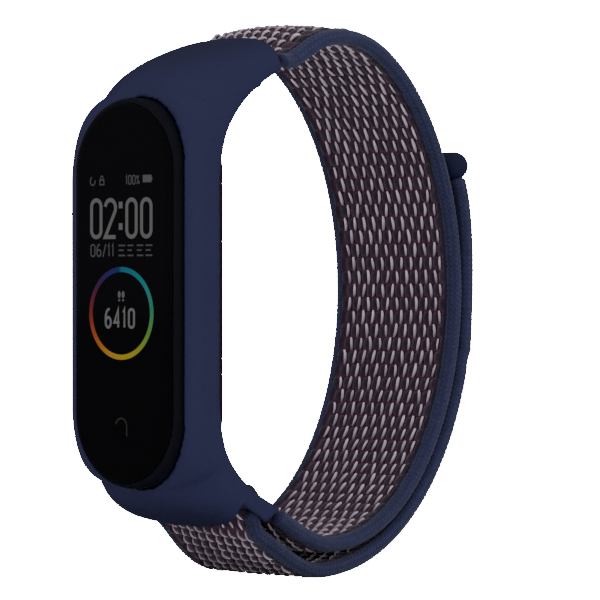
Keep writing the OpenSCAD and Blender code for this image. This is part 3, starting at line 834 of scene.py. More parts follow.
def woven_layer(name, path, start, end, choice, material):
    """A strap layer with woven relief on both faces, laid on its path."""
    step = choice.mesh_step
    reach = WEB_HALF + LIP
    columns = int(2 * reach / step) + 1
    rows = int((end - start) / step) + 1
    across = np.linspace(-reach, reach, columns)
    along = np.linspace(start, end, rows)
    half_t = path.thickness / 2
    tuck = smooth_step(reach - 0.3, reach, np.abs(across))
    swell = face_height(across, half_t) - 0.2 * tuck
    fade = (1 - 0.6 * smooth_step(WEB_HALF - 0.4, reach, np.abs(across)))[None, :]
    noise = np.random.default_rng(5)
    shade = noise.uniform(0.75, 1.25, (400, 40))
    dark, maroon = np.array(choice.dark[:]), np.array(choice.maroon[:])
    layers, tints = [], []
    for side in (1, -1):
        grid_x, grid_s = np.meshgrid(across[::side], along)
        relief, lump, row, column = weave_relief(grid_x * side, grid_s, choice)
        height = side * (swell[::side][None, :] + relief * fade)
        layers.append(np.stack([grid_x, grid_s, height], axis=2))
        vary = shade[row.astype(int) % 400, column.astype(int) % 40][..., None]
        lapped = smooth_step(WEB_HALF - 0.3, WEB_HALF + 0.3, np.abs(grid_x))[..., None]
        shown = lump[..., None] ** 1.3 * (1 - lapped) + lapped
        tints.append(maroon + (dark * vary - maroon) * shown)
    flat = np.concatenate(layers, axis=1)
    colours = np.concatenate(tints, axis=1).reshape(-1, 3)
    points = flat.reshape(-1, 3)
    laid = path.lay(drawn_in(points, path))
    piece = new_piece(name, laid, closed_tube_faces(rows, 2 * columns), material)
    point_colour(piece.data, "yarn_colour_with_painted_light", colours)
    uv_from_points(piece.data, "strap_map", points[:, :2])
    return recalculated(piece)


def stitch_tree():
    """Geometry nodes: a field of short bowed threads, every other row shifted half a column."""
    tree, n, given, out = new_geometry_tree("woven_stitches", [
        ("Columns", 11), ("Rows", 10), ("Column Pitch", 0.0017), ("Row Pitch", 0.0016),
        ("Half Width", 0.0084), ("Thread", 0.0004), ("Length", 0.0016), ("Bow", 0.0003),
        ("Lean", 0.0001), ("Rise", 0.0004), ("Sink", 0.0002), ("Seed", 3), ("Material", None)])
    field, long = flat_field(n, given, given["Column Pitch"], given["Row Pitch"])
    place = n.add("ShaderNodeSeparateXYZ", {0: n.add("GeometryNodeInputPosition").outputs[0]})
    row = n.math("ROUND", n.math("DIVIDE", n.math("ADD", place.outputs[1], n.math("MULTIPLY", long, 0.5)),
                                 given["Row Pitch"]))
    shift = n.math("MULTIPLY", n.math("SUBTRACT", n.math("MODULO", row, 2.0), 0.5),
                   n.math("MULTIPLY", given["Column Pitch"], -0.5))
    moved = n.add("GeometryNodeSetPosition", {"Geometry": field, "Offset": n.add(
        "ShaderNodeCombineXYZ", {0: shift}).outputs[0]})
    edge = n.add("ShaderNodeSeparateXYZ", {0: n.add("GeometryNodeInputPosition").outputs[0]})
    outside = n.add("FunctionNodeCompare", {0: n.math("ABSOLUTE", edge.outputs[0]), 1: given["Half Width"]},
                    data_type="FLOAT", operation="GREATER_THAN")
    kept = n.add("GeometryNodeDeleteGeometry", {
        "Geometry": moved.outputs[0], "Selection": outside.outputs[0]}, domain="POINT")
    reach = n.math("MULTIPLY", given["Length"], 0.5)
    sunk = n.math("MULTIPLY", given["Sink"], -1.0)
    ends = [n.add("ShaderNodeCombineXYZ", {0: given["Lean"], 1: n.math("MULTIPLY", reach, -1.0), 2: sunk}),
            n.add("ShaderNodeCombineXYZ", {0: n.math("MULTIPLY", given["Bow"], -1.0), 1: 0.0,
                                           2: given["Rise"]}),
            n.add("ShaderNodeCombineXYZ", {0: given["Lean"], 1: reach, 2: sunk})]
    start, middle, end = (place.outputs[0] for place in ends)
    thread = n.add("GeometryNodeCurveQuadraticBezier", {"Resolution": 6, "Start": start, "Middle": middle,
                                                        "End": end})
    along = n.add("GeometryNodeSplineParameter").outputs["Factor"]
    marked = n.add("GeometryNodeStoreNamedAttribute", {"Geometry": thread.outputs[0], "Name": "along",
                                                       "Value": along}, data_type="FLOAT", domain="POINT")
    ring = n.add("GeometryNodeCurvePrimitiveCircle", {"Resolution": 6, "Radius": n.math(
        "MULTIPLY", given["Thread"], 0.5)}, mode="RADIUS")
    belly = n.math("SUBTRACT", 1.0, n.math("POWER", n.math("ABSOLUTE", n.math(
        "MULTIPLY_ADD", along, 2.0, -1.0)), 2.2))
    strand = n.add("GeometryNodeCurveToMesh", {
        "Curve": marked.outputs[0], "Profile Curve": ring.outputs[0], "Fill Caps": True,
        "Scale": n.math("MULTIPLY_ADD", belly, 0.4, 0.6)})
    turn = n.add("FunctionNodeRandomValue", {0: (-0.1, -0.1, -0.16), 1: (0.1, 0.1, 0.16),
                                             "Seed": given["Seed"]}, data_type="FLOAT_VECTOR")
    size = n.add("FunctionNodeRandomValue", {2: 0.86, 3: 1.12, "Seed": given["Seed"]}, data_type="FLOAT")
    sown = n.add("GeometryNodeInstanceOnPoints", {"Points": kept.outputs[0], "Instance": strand.outputs[0],
                                                  "Rotation": turn.outputs["Value"]})
    n.join(next(o for o in size.outputs if o.enabled), sown.inputs["Scale"])
    tint = n.add("FunctionNodeRandomValue", {2: 0.0, 3: 1.0, "Seed": n.math("ADD", given["Seed"], 7.0)},
                 data_type="FLOAT")
    tinted = n.add("GeometryNodeStoreNamedAttribute", {"Geometry": sown.outputs[0], "Name": "tint"},
                   data_type="FLOAT", domain="INSTANCE")
    n.join(next(o for o in tint.outputs if o.enabled), tinted.inputs["Value"])
    grow_into(n, tinted.outputs[0], given["Material"], out)
    return tree


def grown(name, tree, values):
    """Runs a geometry node tree with the named inputs and returns its plain mesh object."""
    seed = bpy.data.objects.new(name + "_field", bpy.data.meshes.new(name + "_field"))
    bpy.context.scene.collection.objects.link(seed)
    grower = seed.modifiers.new("grow", "NODES")
    grower.node_group = tree
    sockets = {i.name: i.identifier for i in tree.interface.items_tree if i.in_out == "INPUT"}
    for label, value in values.items():
        grower[sockets[label]] = value
    return evaluated_copy(seed, name)


def field_values(mesh, name):
    """One number for each point from a mesh's attribute."""
    values = np.zeros(len(mesh.vertices), np.float32)
    mesh.attributes[name].data.foreach_get("value", values)
    return values.astype(float)


def stitches(name, path, span, choice, look, material):
    """Pale threads on one face of the weave, coloured with a painted highlight at one end; the span is
    (face side, start, end) along the path.
    """
    side, start, end = span
    first = math.ceil(start / choice.row)
    rows = int((end - start) / choice.row) - 1
    own = {label.capitalize(): look[label] * MM for label in ("length", "bow", "lean", "rise", "sink")}
    sown = grown(name, bpy.data.node_groups.get("woven_stitches") or stitch_tree(), {
        "Columns": int(2 * WEB_HALF / choice.column) + 3, "Rows": rows,
        "Column Pitch": choice.column * MM, "Row Pitch": choice.row * MM,
        "Half Width": (WEB_HALF + 0.05) * MM, "Thread": choice.stitch * look["thread"] * MM,
        **own, "Seed": 3, "Material": material})
    flat = mesh_points(sown.data)
    middle = (first + (rows - 1) / 2 + 0.5) * choice.row
    offset = choice.column * (-0.36 if first % 2 == 0 else 0.14)
    own_x = flat[:, 0] + offset + 0.25 * choice.column
    placed = np.column_stack([own_x * side, flat[:, 1] + middle,
                              side * (face_height(own_x, path.thickness / 2) + flat[:, 2])])
    set_points(sown.data, path.lay(drawn_in(placed, path)))
    uv_from_points(sown.data, "strap_map", placed[:, :2])
    along, tint = field_values(sown.data, "along"), field_values(sown.data, "tint")
    if look["flip_painted_highlight"]:
        along = 1 - along
    # Painted highlight: each stitch is brightest at one end and darker and a little pinker towards the
    # other, with a random tone from tint on top.
    light = 1.4 - 1.1 * along**0.5 + 0.25 * (tint - 0.5)
    pale_with_painted_highlight = np.array(choice.pale[:]) * light[:, None]
    pale_with_painted_highlight[:, 1] *= 1 - 0.12 * along
    point_colour(sown.data, "yarn_colour_with_painted_light", np.clip(pale_with_painted_highlight, 0, 1))
    for extra in ("along", "tint"):
        sown.data.attributes.remove(sown.data.attributes[extra])
    return sown


def joined(pieces, name):
    """Several pieces made one mesh."""
    with bpy.context.temp_override(active_object=pieces[0], object=pieces[0],
                                   selected_objects=pieces, selected_editable_objects=pieces):
        bpy.ops.object.join()
    pieces[0].name = pieces[0].data.name = name
    return pieces[0]


# The last entry sets which end of each stitch gets the painted highlight.
INNER_LOOK = {"thread": 0.86, "length": 1.66, "bow": 0.42, "lean": 0.22, "rise": 0.5, "sink": 0.1,
              "flip_painted_highlight": False}
OUTER_LOOK = {"thread": 0.86, "length": 1.5, "bow": 0.16, "lean": -0.36, "rise": 0.52, "sink": 0.1,
              "flip_painted_highlight": True}


def strap_path(kind):
    """The path of the inner layer, or of the outer layer with the tail that goes on from it."""
    if kind == "inner":
        points, thickness = side_line("strap_inner_layer", True)
    else:
        outer, thickness = side_line("strap_outer_layer", False)
        tail = side_line("strap_tail", False)[0]
        points = np.vstack([outer, tail])
    path = Path(points)
    path.thickness = thickness
    return path


class TRACKER_OT_inner_strap(bpy.types.Operator):
    """The woven inner layer with its pale stitches"""
    bl_idname = "tracker.inner_strap"
    bl_label = "Inner strap layer"

    def execute(self, context):
        choice = context.scene.tracker_strap
        path = strap_path("inner")
        weave = woven_layer("inner_weave", path, 0.05, path.length - 0.05, choice,
                            yarn("dark_yarn", "yarn_colour_with_painted_light", Sheen_Weight=0.25, Sheen_Roughness=0.5))
        put_on(weave, "holder", "woven_nylon", "strap_inner_layer")
        leave = path.nearest([TOP_TIP - TOP_OUT * 2])[0]
        thread = yarn("pale_thread", "yarn_colour_with_painted_light", contrast=0.2, Sheen_Weight=0.2)
        inside = stitches("inner_stitches", path, (-1, leave - 1, path.length - 2), choice, INNER_LOOK,
                          thread)
        put_on(inside, "holder", "woven_nylon")
        outside = stitches("outside_stitches", path, (1, leave - 3, path.length - 2), choice, OUTER_LOOK,
                           thread)
        put_on(outside, "holder", "woven_nylon")
        return {"FINISHED"}


class TRACKER_OT_outer_strap(bpy.types.Operator):
    """The woven outer layer and the tail that peels away"""
    bl_idname = "tracker.outer_strap"
    bl_label = "Outer strap layer and tail"

    def execute(self, context):
        choice = context.scene.tracker_strap
        path = strap_path("outer")
        material = yarn("dark_yarn_outside", "yarn_colour_with_painted_light", Sheen_Weight=0.25, Sheen_Roughness=0.5)
        weave = woven_layer("outer_weave", path, 0.05, path.length - 0.05, choice, material)
        thread = yarn("pale_thread_outside", "yarn_colour_with_painted_light", contrast=0.2, Sheen_Weight=0.2)
        leave = path.nearest([LOW_TIP - LOW_OUT * 2])[0]
        sewn = stitches("outer_stitches", path, (-1, leave - 3, path.length - 0.4), choice, OUTER_LOOK,
                        thread)
        lined = stitches("lining_stitches", path, (1, leave, path.length - 24), choice, INNER_LOOK, thread)
        for piece in (weave, sewn, lined):
            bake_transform(piece)
        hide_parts("strap_outer_layer", "strap_tail")
        return {"FINISHED"}


# ---------------------------------------------------------------- the edge cords
def braid(turns, length):
    """Height from 0 to 1 and crossing side of a plain braid, from the turn round and the length along."""
    strands, lay = 8, 0.62
    a = strands * turns + length / lay
    b = strands * turns - length / lay
    i, j = np.floor(a), np.floor(b)
    u, v = a - i - 0.5, b - j - 0.5
    over = (i + j) % 2 == 0
    across = np.where(over, u, v)
    along = np.where(over, v, u)
    height = np.sqrt(np.clip(1 - (across / 0.52) ** 2, 0, 1)) * (1 - 0.22 * (2 * along) ** 2)
    return height, over


def braided_pair(name, path, start, end, choice, material):
    """Two braided cords, one along each edge of a strap layer, with painted shade in the grooves between
    strands.
    """
    step, around = 0.155, 32
    rows = int((end - start) / step) + 1
    along = np.linspace(start, end, rows)
    turn = np.arange(around) / around
    grid_t, grid_s = np.meshgrid(turn, along)
    height, over = braid(grid_t, grid_s)
    taper = np.sqrt(np.clip(np.minimum(grid_s - start, end - grid_s) / 0.5 + 0.15, 0, 1))
    radius = CORD_R * (0.83 + 0.2 * height) * taper
    base = np.array(choice.cord[:])
    # Painted shade: the cord is darker towards the grooves between its strands; strands of one slant are
    # made 1.12 times as bright, the other 0.88 times.
    tint = base * (0.35 + 0.85 * height[..., None]) * np.where(over, 1.12, 0.88)[..., None]
    pieces = []
    for side in (-1, 1):
        angle = 2 * np.pi * grid_t * side
        flat = np.stack([side * CORD_X + radius * np.cos(angle), grid_s, radius * np.sin(angle)], axis=2)
        points = flat.reshape(-1, 3)
        cord = new_piece(f"{name}_{len(pieces)}", path.lay(points), closed_tube_faces(rows, around),
                         material)
        point_colour(cord.data, "yarn_colour_with_painted_light", tint.reshape(-1, 3))
        uv_from_points(cord.data, "strap_map", np.column_stack([(grid_t * 6).ravel(), grid_s.ravel()]))
        pieces.append(recalculated(cord))
    return joined(pieces, name)


# Where the inner cords start and end and the outer ones start, along the slopes from the tips
INNER_CORD_START = -1.87
INNER_CORD_END = 2.9
OUTER_CORD_START = -1.2


class TRACKER_OT_edge_cords(bpy.types.Operator):
    """The round braided cords along the strap's edges"""
    bl_idname = "tracker.edge_cords"
    bl_label = "Edge cords"

    def execute(self, context):
        choice = context.scene.tracker_strap
        material = yarn("braided_yarn", "yarn_colour_with_painted_light", slant=0.6, contrast=0.55, bump=0.00005, across=12.0,
                        Sheen_Weight=0.15)
        inner = strap_path("inner")
        first = inner.nearest([TOP_TIP - SLOT_OUT * WEB_DEPTH + SLOT_ALONG * INNER_CORD_START])[0]
        clear = (inner.p - LOW_TIP) @ LOW_ALONG < INNER_CORD_END
        low = np.nonzero(clear & (inner.p[:, 1] < 0))[0][0]
        pair = braided_pair("inner_cords", inner, first, inner.s[low], choice, material)
        put_on(pair, "holder", "braided_cord", "edge_cords_inner")
        outer = strap_path("outer")
        first = outer.nearest([LOW_TIP - LOW_OUT * WEB_DEPTH + LOW_ALONG * OUTER_CORD_START])[0]
        pair = braided_pair("outer_cords", outer, first, outer.length + 0.3, choice, material)
        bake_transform(pair)
        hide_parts("edge_cords_outer", "edge_cords_tail")
        return {"FINISHED"}


# ---------------------------------------------------------------- hook and loop tape
def bristle_tree(kind):
    """Geometry nodes: a jittered field of hooks or loops on a flat tape."""
    tree, n, given, out = new_geometry_tree(kind, [
        ("Columns", 17), ("Rows", 20), ("Pitch", 0.0008), ("Height", 0.0005), ("Span", 0.0004),
        ("Thread", 0.00012), ("Jitter", 0.0001), ("Turn", 0.4), ("Seed", 1), ("Material", None)])
    field, _ = flat_field(n, given, given["Pitch"], given["Pitch"])
    spread = n.add("FunctionNodeRandomValue", {0: (-1, -1, 0), 1: (1, 1, 0), "Seed": given["Seed"]},
                   data_type="FLOAT_VECTOR")
    jitter = n.add("ShaderNodeVectorMath", {0: spread.outputs["Value"], "Scale": given["Jitter"]},
                   operation="SCALE")
    moved = n.add("GeometryNodeSetPosition", {"Geometry": field, "Offset": jitter.outputs[0]})
    half = n.math("MULTIPLY", given["Span"], 0.5)
    foot = n.math("MULTIPLY", given["Height"], -0.25)
    start = n.add("ShaderNodeCombineXYZ", {1: n.math("MULTIPLY", half, -1.0), 2: foot})
    peak = n.math("MULTIPLY", given["Height"], 2.0)
    end_z = foot if kind == "tape_loops" else n.math("MULTIPLY", given["Height"], 0.45)
    lift = n.add("ShaderNodeCombineXYZ", {1: n.math("MULTIPLY", half, -0.9), 2: peak})
    lower = n.add("ShaderNodeCombineXYZ", {1: n.math("MULTIPLY", half, 1.1), 2: peak})
    end = n.add("ShaderNodeCombineXYZ", {1: half, 2: end_z})
    bend = n.add("GeometryNodeCurvePrimitiveBezierSegment", {
        "Resolution": 7, "Start": start.outputs[0], "Start Handle": lift.outputs[0],
        "End Handle": lower.outputs[0], "End": end.outputs[0]}, mode="POSITION")
    ring = n.add("GeometryNodeCurvePrimitiveCircle", {"Resolution": 4, "Radius": n.math(
        "MULTIPLY", given["Thread"], 0.5)}, mode="RADIUS")
    strand = n.add("GeometryNodeCurveToMesh", {"Curve": bend.outputs[0], "Profile Curve": ring.outputs[0],
                                               "Fill Caps": True})
    about = n.add("FunctionNodeRandomValue", {2: n.math("MULTIPLY", given["Turn"], -1.0), 3: given["Turn"],
                                              "Seed": n.math("ADD", given["Seed"], 4.0)}, data_type="FLOAT")
    turn = n.add("ShaderNodeCombineXYZ", {2: next(o for o in about.outputs if o.enabled)})
    sown = n.add("GeometryNodeInstanceOnPoints", {"Points": moved.outputs[0], "Instance": strand.outputs[0],
                                                  "Rotation": turn.outputs[0]})
    grow_into(n, sown.outputs[0], given["Material"], out)
    return tree


def tape(name, path, span, lift, thick, half, kind, values, material):
    """A flat backing strip on a path with hooks or loops standing on it."""
    start, end = span
    rows = int((end - start) / 0.5) + 2
    along = np.linspace(start, end, rows)
    side = np.array([[-half, lift], [half, lift], [half, lift + thick], [-half, lift + thick]])
    flat = np.array([(x, s, h) for s in along for x, h in side])
    strip = new_piece(name + "_strip", path.lay(flat), closed_tube_faces(rows, 4), material, smooth=False)
    recalculated(strip)
    pitch = values["Pitch"] / MM
    bristles = grown(name + "_bristles", bristle_tree(kind), {
        **values, "Columns": int((2 * half - 0.8) / pitch), "Rows": int((end - start - 0.8) / pitch),
        "Material": material})
    flat = mesh_points(bristles.data)
    set_points(bristles.data, path.lay(np.column_stack([
        flat[:, 0], flat[:, 1] + (start + end) / 2, flat[:, 2] + lift + thick])))
    recalculated(bristles)
    return joined([strip, bristles], name)


class TRACKER_OT_fastener_tapes(bpy.types.Operator):
    """The hook tape under the tail and the loop pile that it presses on"""
    bl_idname = "tracker.fastener_tapes"
    bl_label = "Hook and loop tapes"

    def execute(self, context):
        half = box_mm("hook_patch")[1][0]
        low, high = box_mm("hook_patch")
        tail = strap_path("outer")
        ends = [tail.s[np.nonzero((tail.p[:, 0] > 15) & (tail.p[:, 1] > z))[0][0]]
                for z in (low[2] + 0.1, high[2] - 0.1)]
        hooks = tape("hook_tape", tail, ends, tail.thickness / 2 - 0.02, 0.14, half, "tape_hooks",
                     {"Pitch": 0.8 * MM, "Height": 0.2 * MM, "Span": 0.3 * MM, "Thread": 0.11 * MM,
                      "Jitter": 0.03 * MM, "Turn": 0.25, "Seed": 2},
                     grained("hook_nylon", srgb(26, 27, 40), roughness=0.45, contrast=0.12))
        put_on(hooks, "tail", "hook_tape", "hook_patch")
        low, high = box_mm("loop_patch")
        inner = strap_path("inner")
        ends = [inner.s[np.nonzero((inner.p[:, 0] > 12) & (inner.p[:, 1] < z))[0][0]]
                for z in (high[2] - 0.1, low[2] + 0.1)]
        loops = tape("loop_tape", inner, ends, inner.thickness / 2 - 0.1, 0.08, half, "tape_loops",
                     {"Pitch": 0.7 * MM, "Height": 0.12 * MM, "Span": 0.5 * MM, "Thread": 0.09 * MM,
                      "Jitter": 0.18 * MM, "Turn": 3.1, "Seed": 8},
                     grained("loop_pile", srgb(52, 36, 62), roughness=0.9, contrast=0.3, Sheen_Weight=0.3))
        put_on(loops, "holder", "woven_nylon", "loop_patch")
        return {"FINISHED"}


# ---------------------------------------------------------------- the tail's bar and the sewn end
def lathed(name, profile, centre, material, count=48):
    """A closed turned piece along X from [x, radius] points, about a [y, z] centre."""
    turn = np.arange(count) * 2 * np.pi / count
    rows = [np.column_stack([np.full(count, x), centre[0] + r * np.cos(turn), centre[1] + r * np.sin(turn)])
            for x, r in profile]
    return row_solid(name, rows, material)


class TRACKER_OT_tip_bar(bpy.types.Operator):
    """The moulded bar on the tail's end"""
    bl_idname = "tracker.tip_bar"
    bl_label = "Tip bar"

    def execute(self, context):
        low, high = box_mm("tip_bar")
        radius = (high[2] - low[2]) / 2
        reach = high[0] - radius
        dome = [(reach + radius * math.sin(a), max(0.02, radius * math.cos(a)))
                for a in np.linspace(0.0, math.pi / 2, 16)]
        collar = [(reach - 1.3, radius), (reach - 1.15, radius - 0.14), (reach - 0.95, radius - 0.14),
                  (reach - 0.8, radius)]
        half = [(0.0, radius)] + collar + dome
        profile = [(-x, r) for x, r in reversed(half[1:])] + half
        bar = lathed("tail_tip_bar", profile, (low + high)[1:] / 2,
                     grained("satin_bar_plastic", srgb(33, 34, 68), roughness=0.34, spread=0.1,
                             bump=0.000004, contrast=0.06))
        put_on(bar, "tail", "tip_plastic", "tip_bar")
        return {"FINISHED"}


class TRACKER_OT_anchor_thread(bpy.types.Operator):
    """The rows of thread that hold the strap's sewn end"""
    bl_idname = "tracker.anchor_thread"
    bl_label = "Anchor stitches"

    def execute(self, context):
        path = strap_path("inner")
        material = grained("sewing_thread", srgb(58, 60, 96), roughness=0.7, contrast=0.2)
        tree = bpy.data.node_groups.get("woven_stitches") or stitch_tree()
        rows = grown("anchor_thread", tree, {
            "Columns": 15, "Rows": 2, "Column Pitch": 1.05 * MM, "Row Pitch": 0.7 * MM,
            "Half Width": (WEB_HALF - 0.7) * MM, "Thread": 0.2 * MM, "Length": 0.6 * MM, "Bow": 0.0,
            "Lean": 0.0, "Rise": 0.14 * MM, "Sink": 0.02 * MM, "Seed": 12, "Material": material})
        flat = mesh_points(rows.data)
        set_points(rows.data, path.lay(np.column_stack([
            flat[:, 0], flat[:, 1] + 0.9, flat[:, 2] + path.thickness / 2])))
        put_on(recalculated(rows), "holder", "braided_cord", "anchor_stitches")
        return {"FINISHED"}


# ---------------------------------------------------------------- the capsule
def eased(profile, radius, count=4):
    """Rounds the corners of an outline of [radius, depth] points, its two ends kept."""
    made = [profile[0]]
    for before, corner, after in zip(profile, profile[1:], profile[2:]):
        before, corner, after = (np.array(p, float) for p in (before, corner, after))
        one, two = before - corner, after - corner
        cut = min(radius, 0.45 * np.linalg.norm(one), 0.45 * np.linalg.norm(two))
        one = corner + one / np.linalg.norm(one) * cut
        two = corner + two / np.linalg.norm(two) * cut
        for t in np.linspace(0, 1, count):
            made.append(tuple((1 - t) ** 2 * one + 2 * t * (1 - t) * corner + t * t * two))
    return made + [profile[-1]]


def swept(name, profile, material, ring=False, count=40):
    """A profile of [radius, depth] swept round the capsule's outline, capped or closed on itself."""
    rows = []
    for radius, depth in profile:
        outline = stadium_ring(max(radius, 0.01), count)
        rows.append(np.column_stack([outline[:, 0], np.full(len(outline), FACE_Y + depth), outline[:, 1]]))
    if not ring:
        return row_solid(name, rows, material)
    rows.append(rows[0])
    faces = grid_faces(len(rows), 2 * count, wrap=True)
    return recalculated(new_piece(name, np.vstack(rows), faces, material))


class TRACKER_OT_capsule_shells(bpy.types.Operator):
    """The cover glass, the two housings and the sensor's dome"""
    bl_idname = "tracker.capsule_shells"
    bl_label = "Capsule shells"

    def execute(self, context):
        flat = GLASS_R - 1.2
        edge = [(flat + 1.2 * math.sin(a), 0.5 - 0.5 * math.cos(a))
                for a in np.linspace(0, math.pi / 2, 14)]
        glass = [(flat - 0.12, 0)] + edge + [(GLASS_R, GLASS_T - 0.05), (GLASS_R - 0.05, GLASS_T),
                                             (GLASS_R - 0.2, GLASS_T)]
        black = grained("black_glass", srgb(7, 7, 9), roughness=0.07, spread=0.03, bump=0.0000004,
                        contrast=0.1, IOR=1.5, Coat_Weight=0.4, Coat_Roughness=0.03)
        put_on(swept("glass_cover", glass, black), "capsule", "cover_glass", "cover_glass")
        case = grained("satin_case_plastic", srgb(20, 21, 32), roughness=0.33, spread=0.1, contrast=0.08)
        inner_r, lip, ledge = CASE_R - 0.9, 0.5, GLASS_T + 0.2
        front = [(GLASS_R + 0.04, ledge), (GLASS_R + 0.04, lip), (CASE_R - 0.4, lip + 0.2),
                 (CASE_R - 0.14, lip + 0.55), (CASE_R, lip + 1.2), (CASE_R, WAIST), (inner_r, WAIST),
                 (inner_r, ledge + 0.9), (7.2, ledge + 0.9), (7.2, ledge), (GLASS_R + 0.04, ledge)]
        put_on(swept("front_case", eased(front, 0.12)[:-1], case, ring=True), "capsule", "case_plastic",
               "front_housing")
        back_r = NECK_R - 2.9
        rear = [(back_r - 0.5, BACK), (back_r, BACK), (back_r + 1.2, BACK - 0.5),
                (NECK_R - 0.9, BACK - 1.6), (NECK_R - 0.3, BACK - 3), (NECK_R, WAIST + 0.01),
                (inner_r - 0.63, WAIST + 0.01),
                (inner_r - 0.63, BACK - 3.4), (back_r - 0.3, BACK - 0.9), (back_r - 0.6, BACK - 0.9)]
        shell = swept("rear_case", eased(rear, 0.3), case)
        self.pierce(shell, case)
        put_on(shell, "capsule", "case_plastic", "rear_housing")
        self.dome()
        return {"FINISHED"}

    def pierce(self, shell, material):
        """Opens the sensor's and the contacts' holes in the rear case."""
        holes = [(SENSOR_HIGH[0] + 0.03, 0, 0)]
        low, high = box_mm("charging_contacts")
        radius = (high[2] - low[2]) / 2
        for side in (-1, 1):
            holes.append((radius + 0.02, side * (high[0] - radius), (high[2] + low[2]) / 2))
        for radius, x, z in holes:
            turn = np.linspace(0, 2 * np.pi, 64, endpoint=False)
            rows = [np.column_stack([x + radius * np.cos(turn), np.full(64, y), z + radius * np.sin(turn)])
                    for y in (FACE_Y + BACK - 1.8, FACE_Y + BACK + 2)]
            tool = row_solid("hole", rows, material)
            cut = boolean(shell, "hole", "DIFFERENCE", tool)
            mesh = bpy.data.meshes.new_from_object(
                shell.evaluated_get(bpy.context.evaluated_depsgraph_get()))
            shell.modifiers.remove(cut)
            shell.data = mesh
            bpy.data.objects.remove(tool)
        shell.data.set_sharp_from_angle(angle=math.radians(40))

    def dome(self):
        """The smoked clear dome over the optical sensor."""
        radius = SENSOR_HIGH[0]
        rise = SENSOR_HIGH[1] - (FACE_Y + BACK)
        ball = (radius**2 + rise**2) / (2 * rise)
        top = math.asin(radius / ball)
        arc = [(ball * math.sin(a), SENSOR_HIGH[1] - ball * (1 - math.cos(a)))
               for a in np.linspace(0.0005, top, 14)]
        profile = arc + [(radius, SENSOR_LOW[1]), (0.005, SENSOR_LOW[1])]
        turn = np.arange(64) * 2 * np.pi / 64
        rows = [np.column_stack([r * np.cos(turn), np.full(64, y), r * np.sin(turn)]) for r, y in profile]
        smoked = grained("smoked_window", srgb(13, 14, 18), roughness=0.08, spread=0.04, bump=0.0000005,
                         contrast=0.1, Coat_Weight=0.3)
        piece = row_solid("sensor_dome", rows, smoked)
        piece.data.set_sharp_from_angle(angle=math.radians(40))
        put_on(piece, "capsule", "sensor_window", "sensor_window")


# ---------------------------------------------------------------- the lit screen
def arc_points(cx, cy, rx, ry, start, end, count=14):
    """Points of an elliptic arc; angles in degrees."""
    turn = np.radians(np.linspace(start, end, count))
    return [(cx + rx * math.cos(a), cy + ry * math.sin(a)) for a in turn]


# Each digit is strokes in a box 1 wide and 1 high; True closes a stroke on itself
DIGITS = {
    "0": [(arc_points(0.5, 0.82, 0.5, 0.18, 0, 180) + arc_points(0.5, 0.18, 0.5, 0.18, 180, 360), True)],
    "1": [([(0.1, 0.82), (0.6, 1.0), (0.6, 0.0)], False)],
    "2": [(arc_points(0.5, 0.78, 0.5, 0.22, 170, -20) + [(0.0, 0.0), (1.0, 0.0)], False)],
    "4": [([(0.75, 0.0), (0.75, 1.0), (0.0, 0.28), (1.0, 0.28)], False)],
    "6": [(arc_points(0.62, 0.52, 0.62, 0.48, 75, 180) + [(0.0, 0.3)], False),
          (arc_points(0.5, 0.28, 0.5, 0.28, 0, 345, 22), True)],
    "/": [([(0.0, -0.05), (1.0, 1.05)], False)],
    "%": [([(0.1, 0.0), (0.9, 1.0)], False), (arc_points(0.15, 0.8, 0.18, 0.14, 0, 330, 10), True),
          (arc_points(0.85, 0.2, 0.18, 0.14, 0, 330, 10), True)],
}


class Inlay:
    """Flat closed strokes just proud of the glass, collected into one mesh."""

    def __init__(self):
        self.points, self.faces, self.colours = [], [], []

    def stroke(self, line, width, colour, closed=False):
        """A ribbon [x, z] of even width; colour is one colour or one for each point."""
        p = np.array(line, float)
        ahead, behind = np.roll(p, -1, axis=0), np.roll(p, 1, axis=0)
        if not closed:
            ahead[-1] = 2 * p[-1] - p[-2]
            behind[0] = 2 * p[0] - p[1]
        one, two = p - behind, ahead - p
        one /= np.linalg.norm(one, axis=1)[:, None]
        two /= np.linalg.norm(two, axis=1)[:, None]
        way = one + two
        way /= np.linalg.norm(way, axis=1)[:, None]
        reach = width / 2 / np.clip((way * two).sum(1), 0.35, 1)
        side = np.column_stack([-way[:, 1], way[:, 0]]) * reach[:, None]
        self.sheet(p + side, p - side, colour, closed)

    def sheet(self, left, right, colour, closed):
        """A closed thin solid between two lines of the same number of points."""
        base = len(self.points)
        count = len(left)
        top, bottom = FACE_Y - 0.012, FACE_Y + 0.01
        for i in range(count):
            for (x, z), y in ((left[i], top), (right[i], top), (right[i], bottom), (left[i], bottom)):
                self.points.append((x, y, z))
                self.colours.append(colour[i] if len(np.shape(colour)) > 1 else colour)
        last = count if closed else count - 1
        for i in range(last):
            a, b = base + 4 * i, base + 4 * ((i + 1) % count)
            for k in range(4):
                m = (k + 1) % 4
                self.faces.append((a + k, a + m, b + m, b + k))
        if not closed:
            self.faces.append(tuple(base + k for k in (3, 2, 1, 0)))
            self.faces.append(tuple(base + 4 * (count - 1) + k for k in range(4)))

    def bar(self, x0, x1, z0, z1, colour):
        """A filled rectangle."""
        self.sheet(np.array([(x0, z0), (x0, z1)]), np.array([(x1, z0), (x1, z1)]), colour, False)

    def text(self, words, x, z, width, height, gap, stroke, colour):
        """Digits from left to right, each in its own box."""
        for letter in words:
            if letter == ":":
                for level in (0.22, 0.74):
                    foot = z + height * level
                    self.bar(x, x + stroke * 1.3, foot, foot + stroke * 1.6, colour)
                x += stroke * 1.3 + gap
                continue
            wide = width * {"1": 0.6, "/": 0.8}.get(letter, 1)
            for line, closed in DIGITS[letter]:
                inset = stroke / 2
                path = [(x + inset + px * (wide - stroke), z + inset + pz * (height - stroke))
                        for px, pz in line]
                self.stroke(path, stroke, colour, closed)
            x += wide + gap
        return x


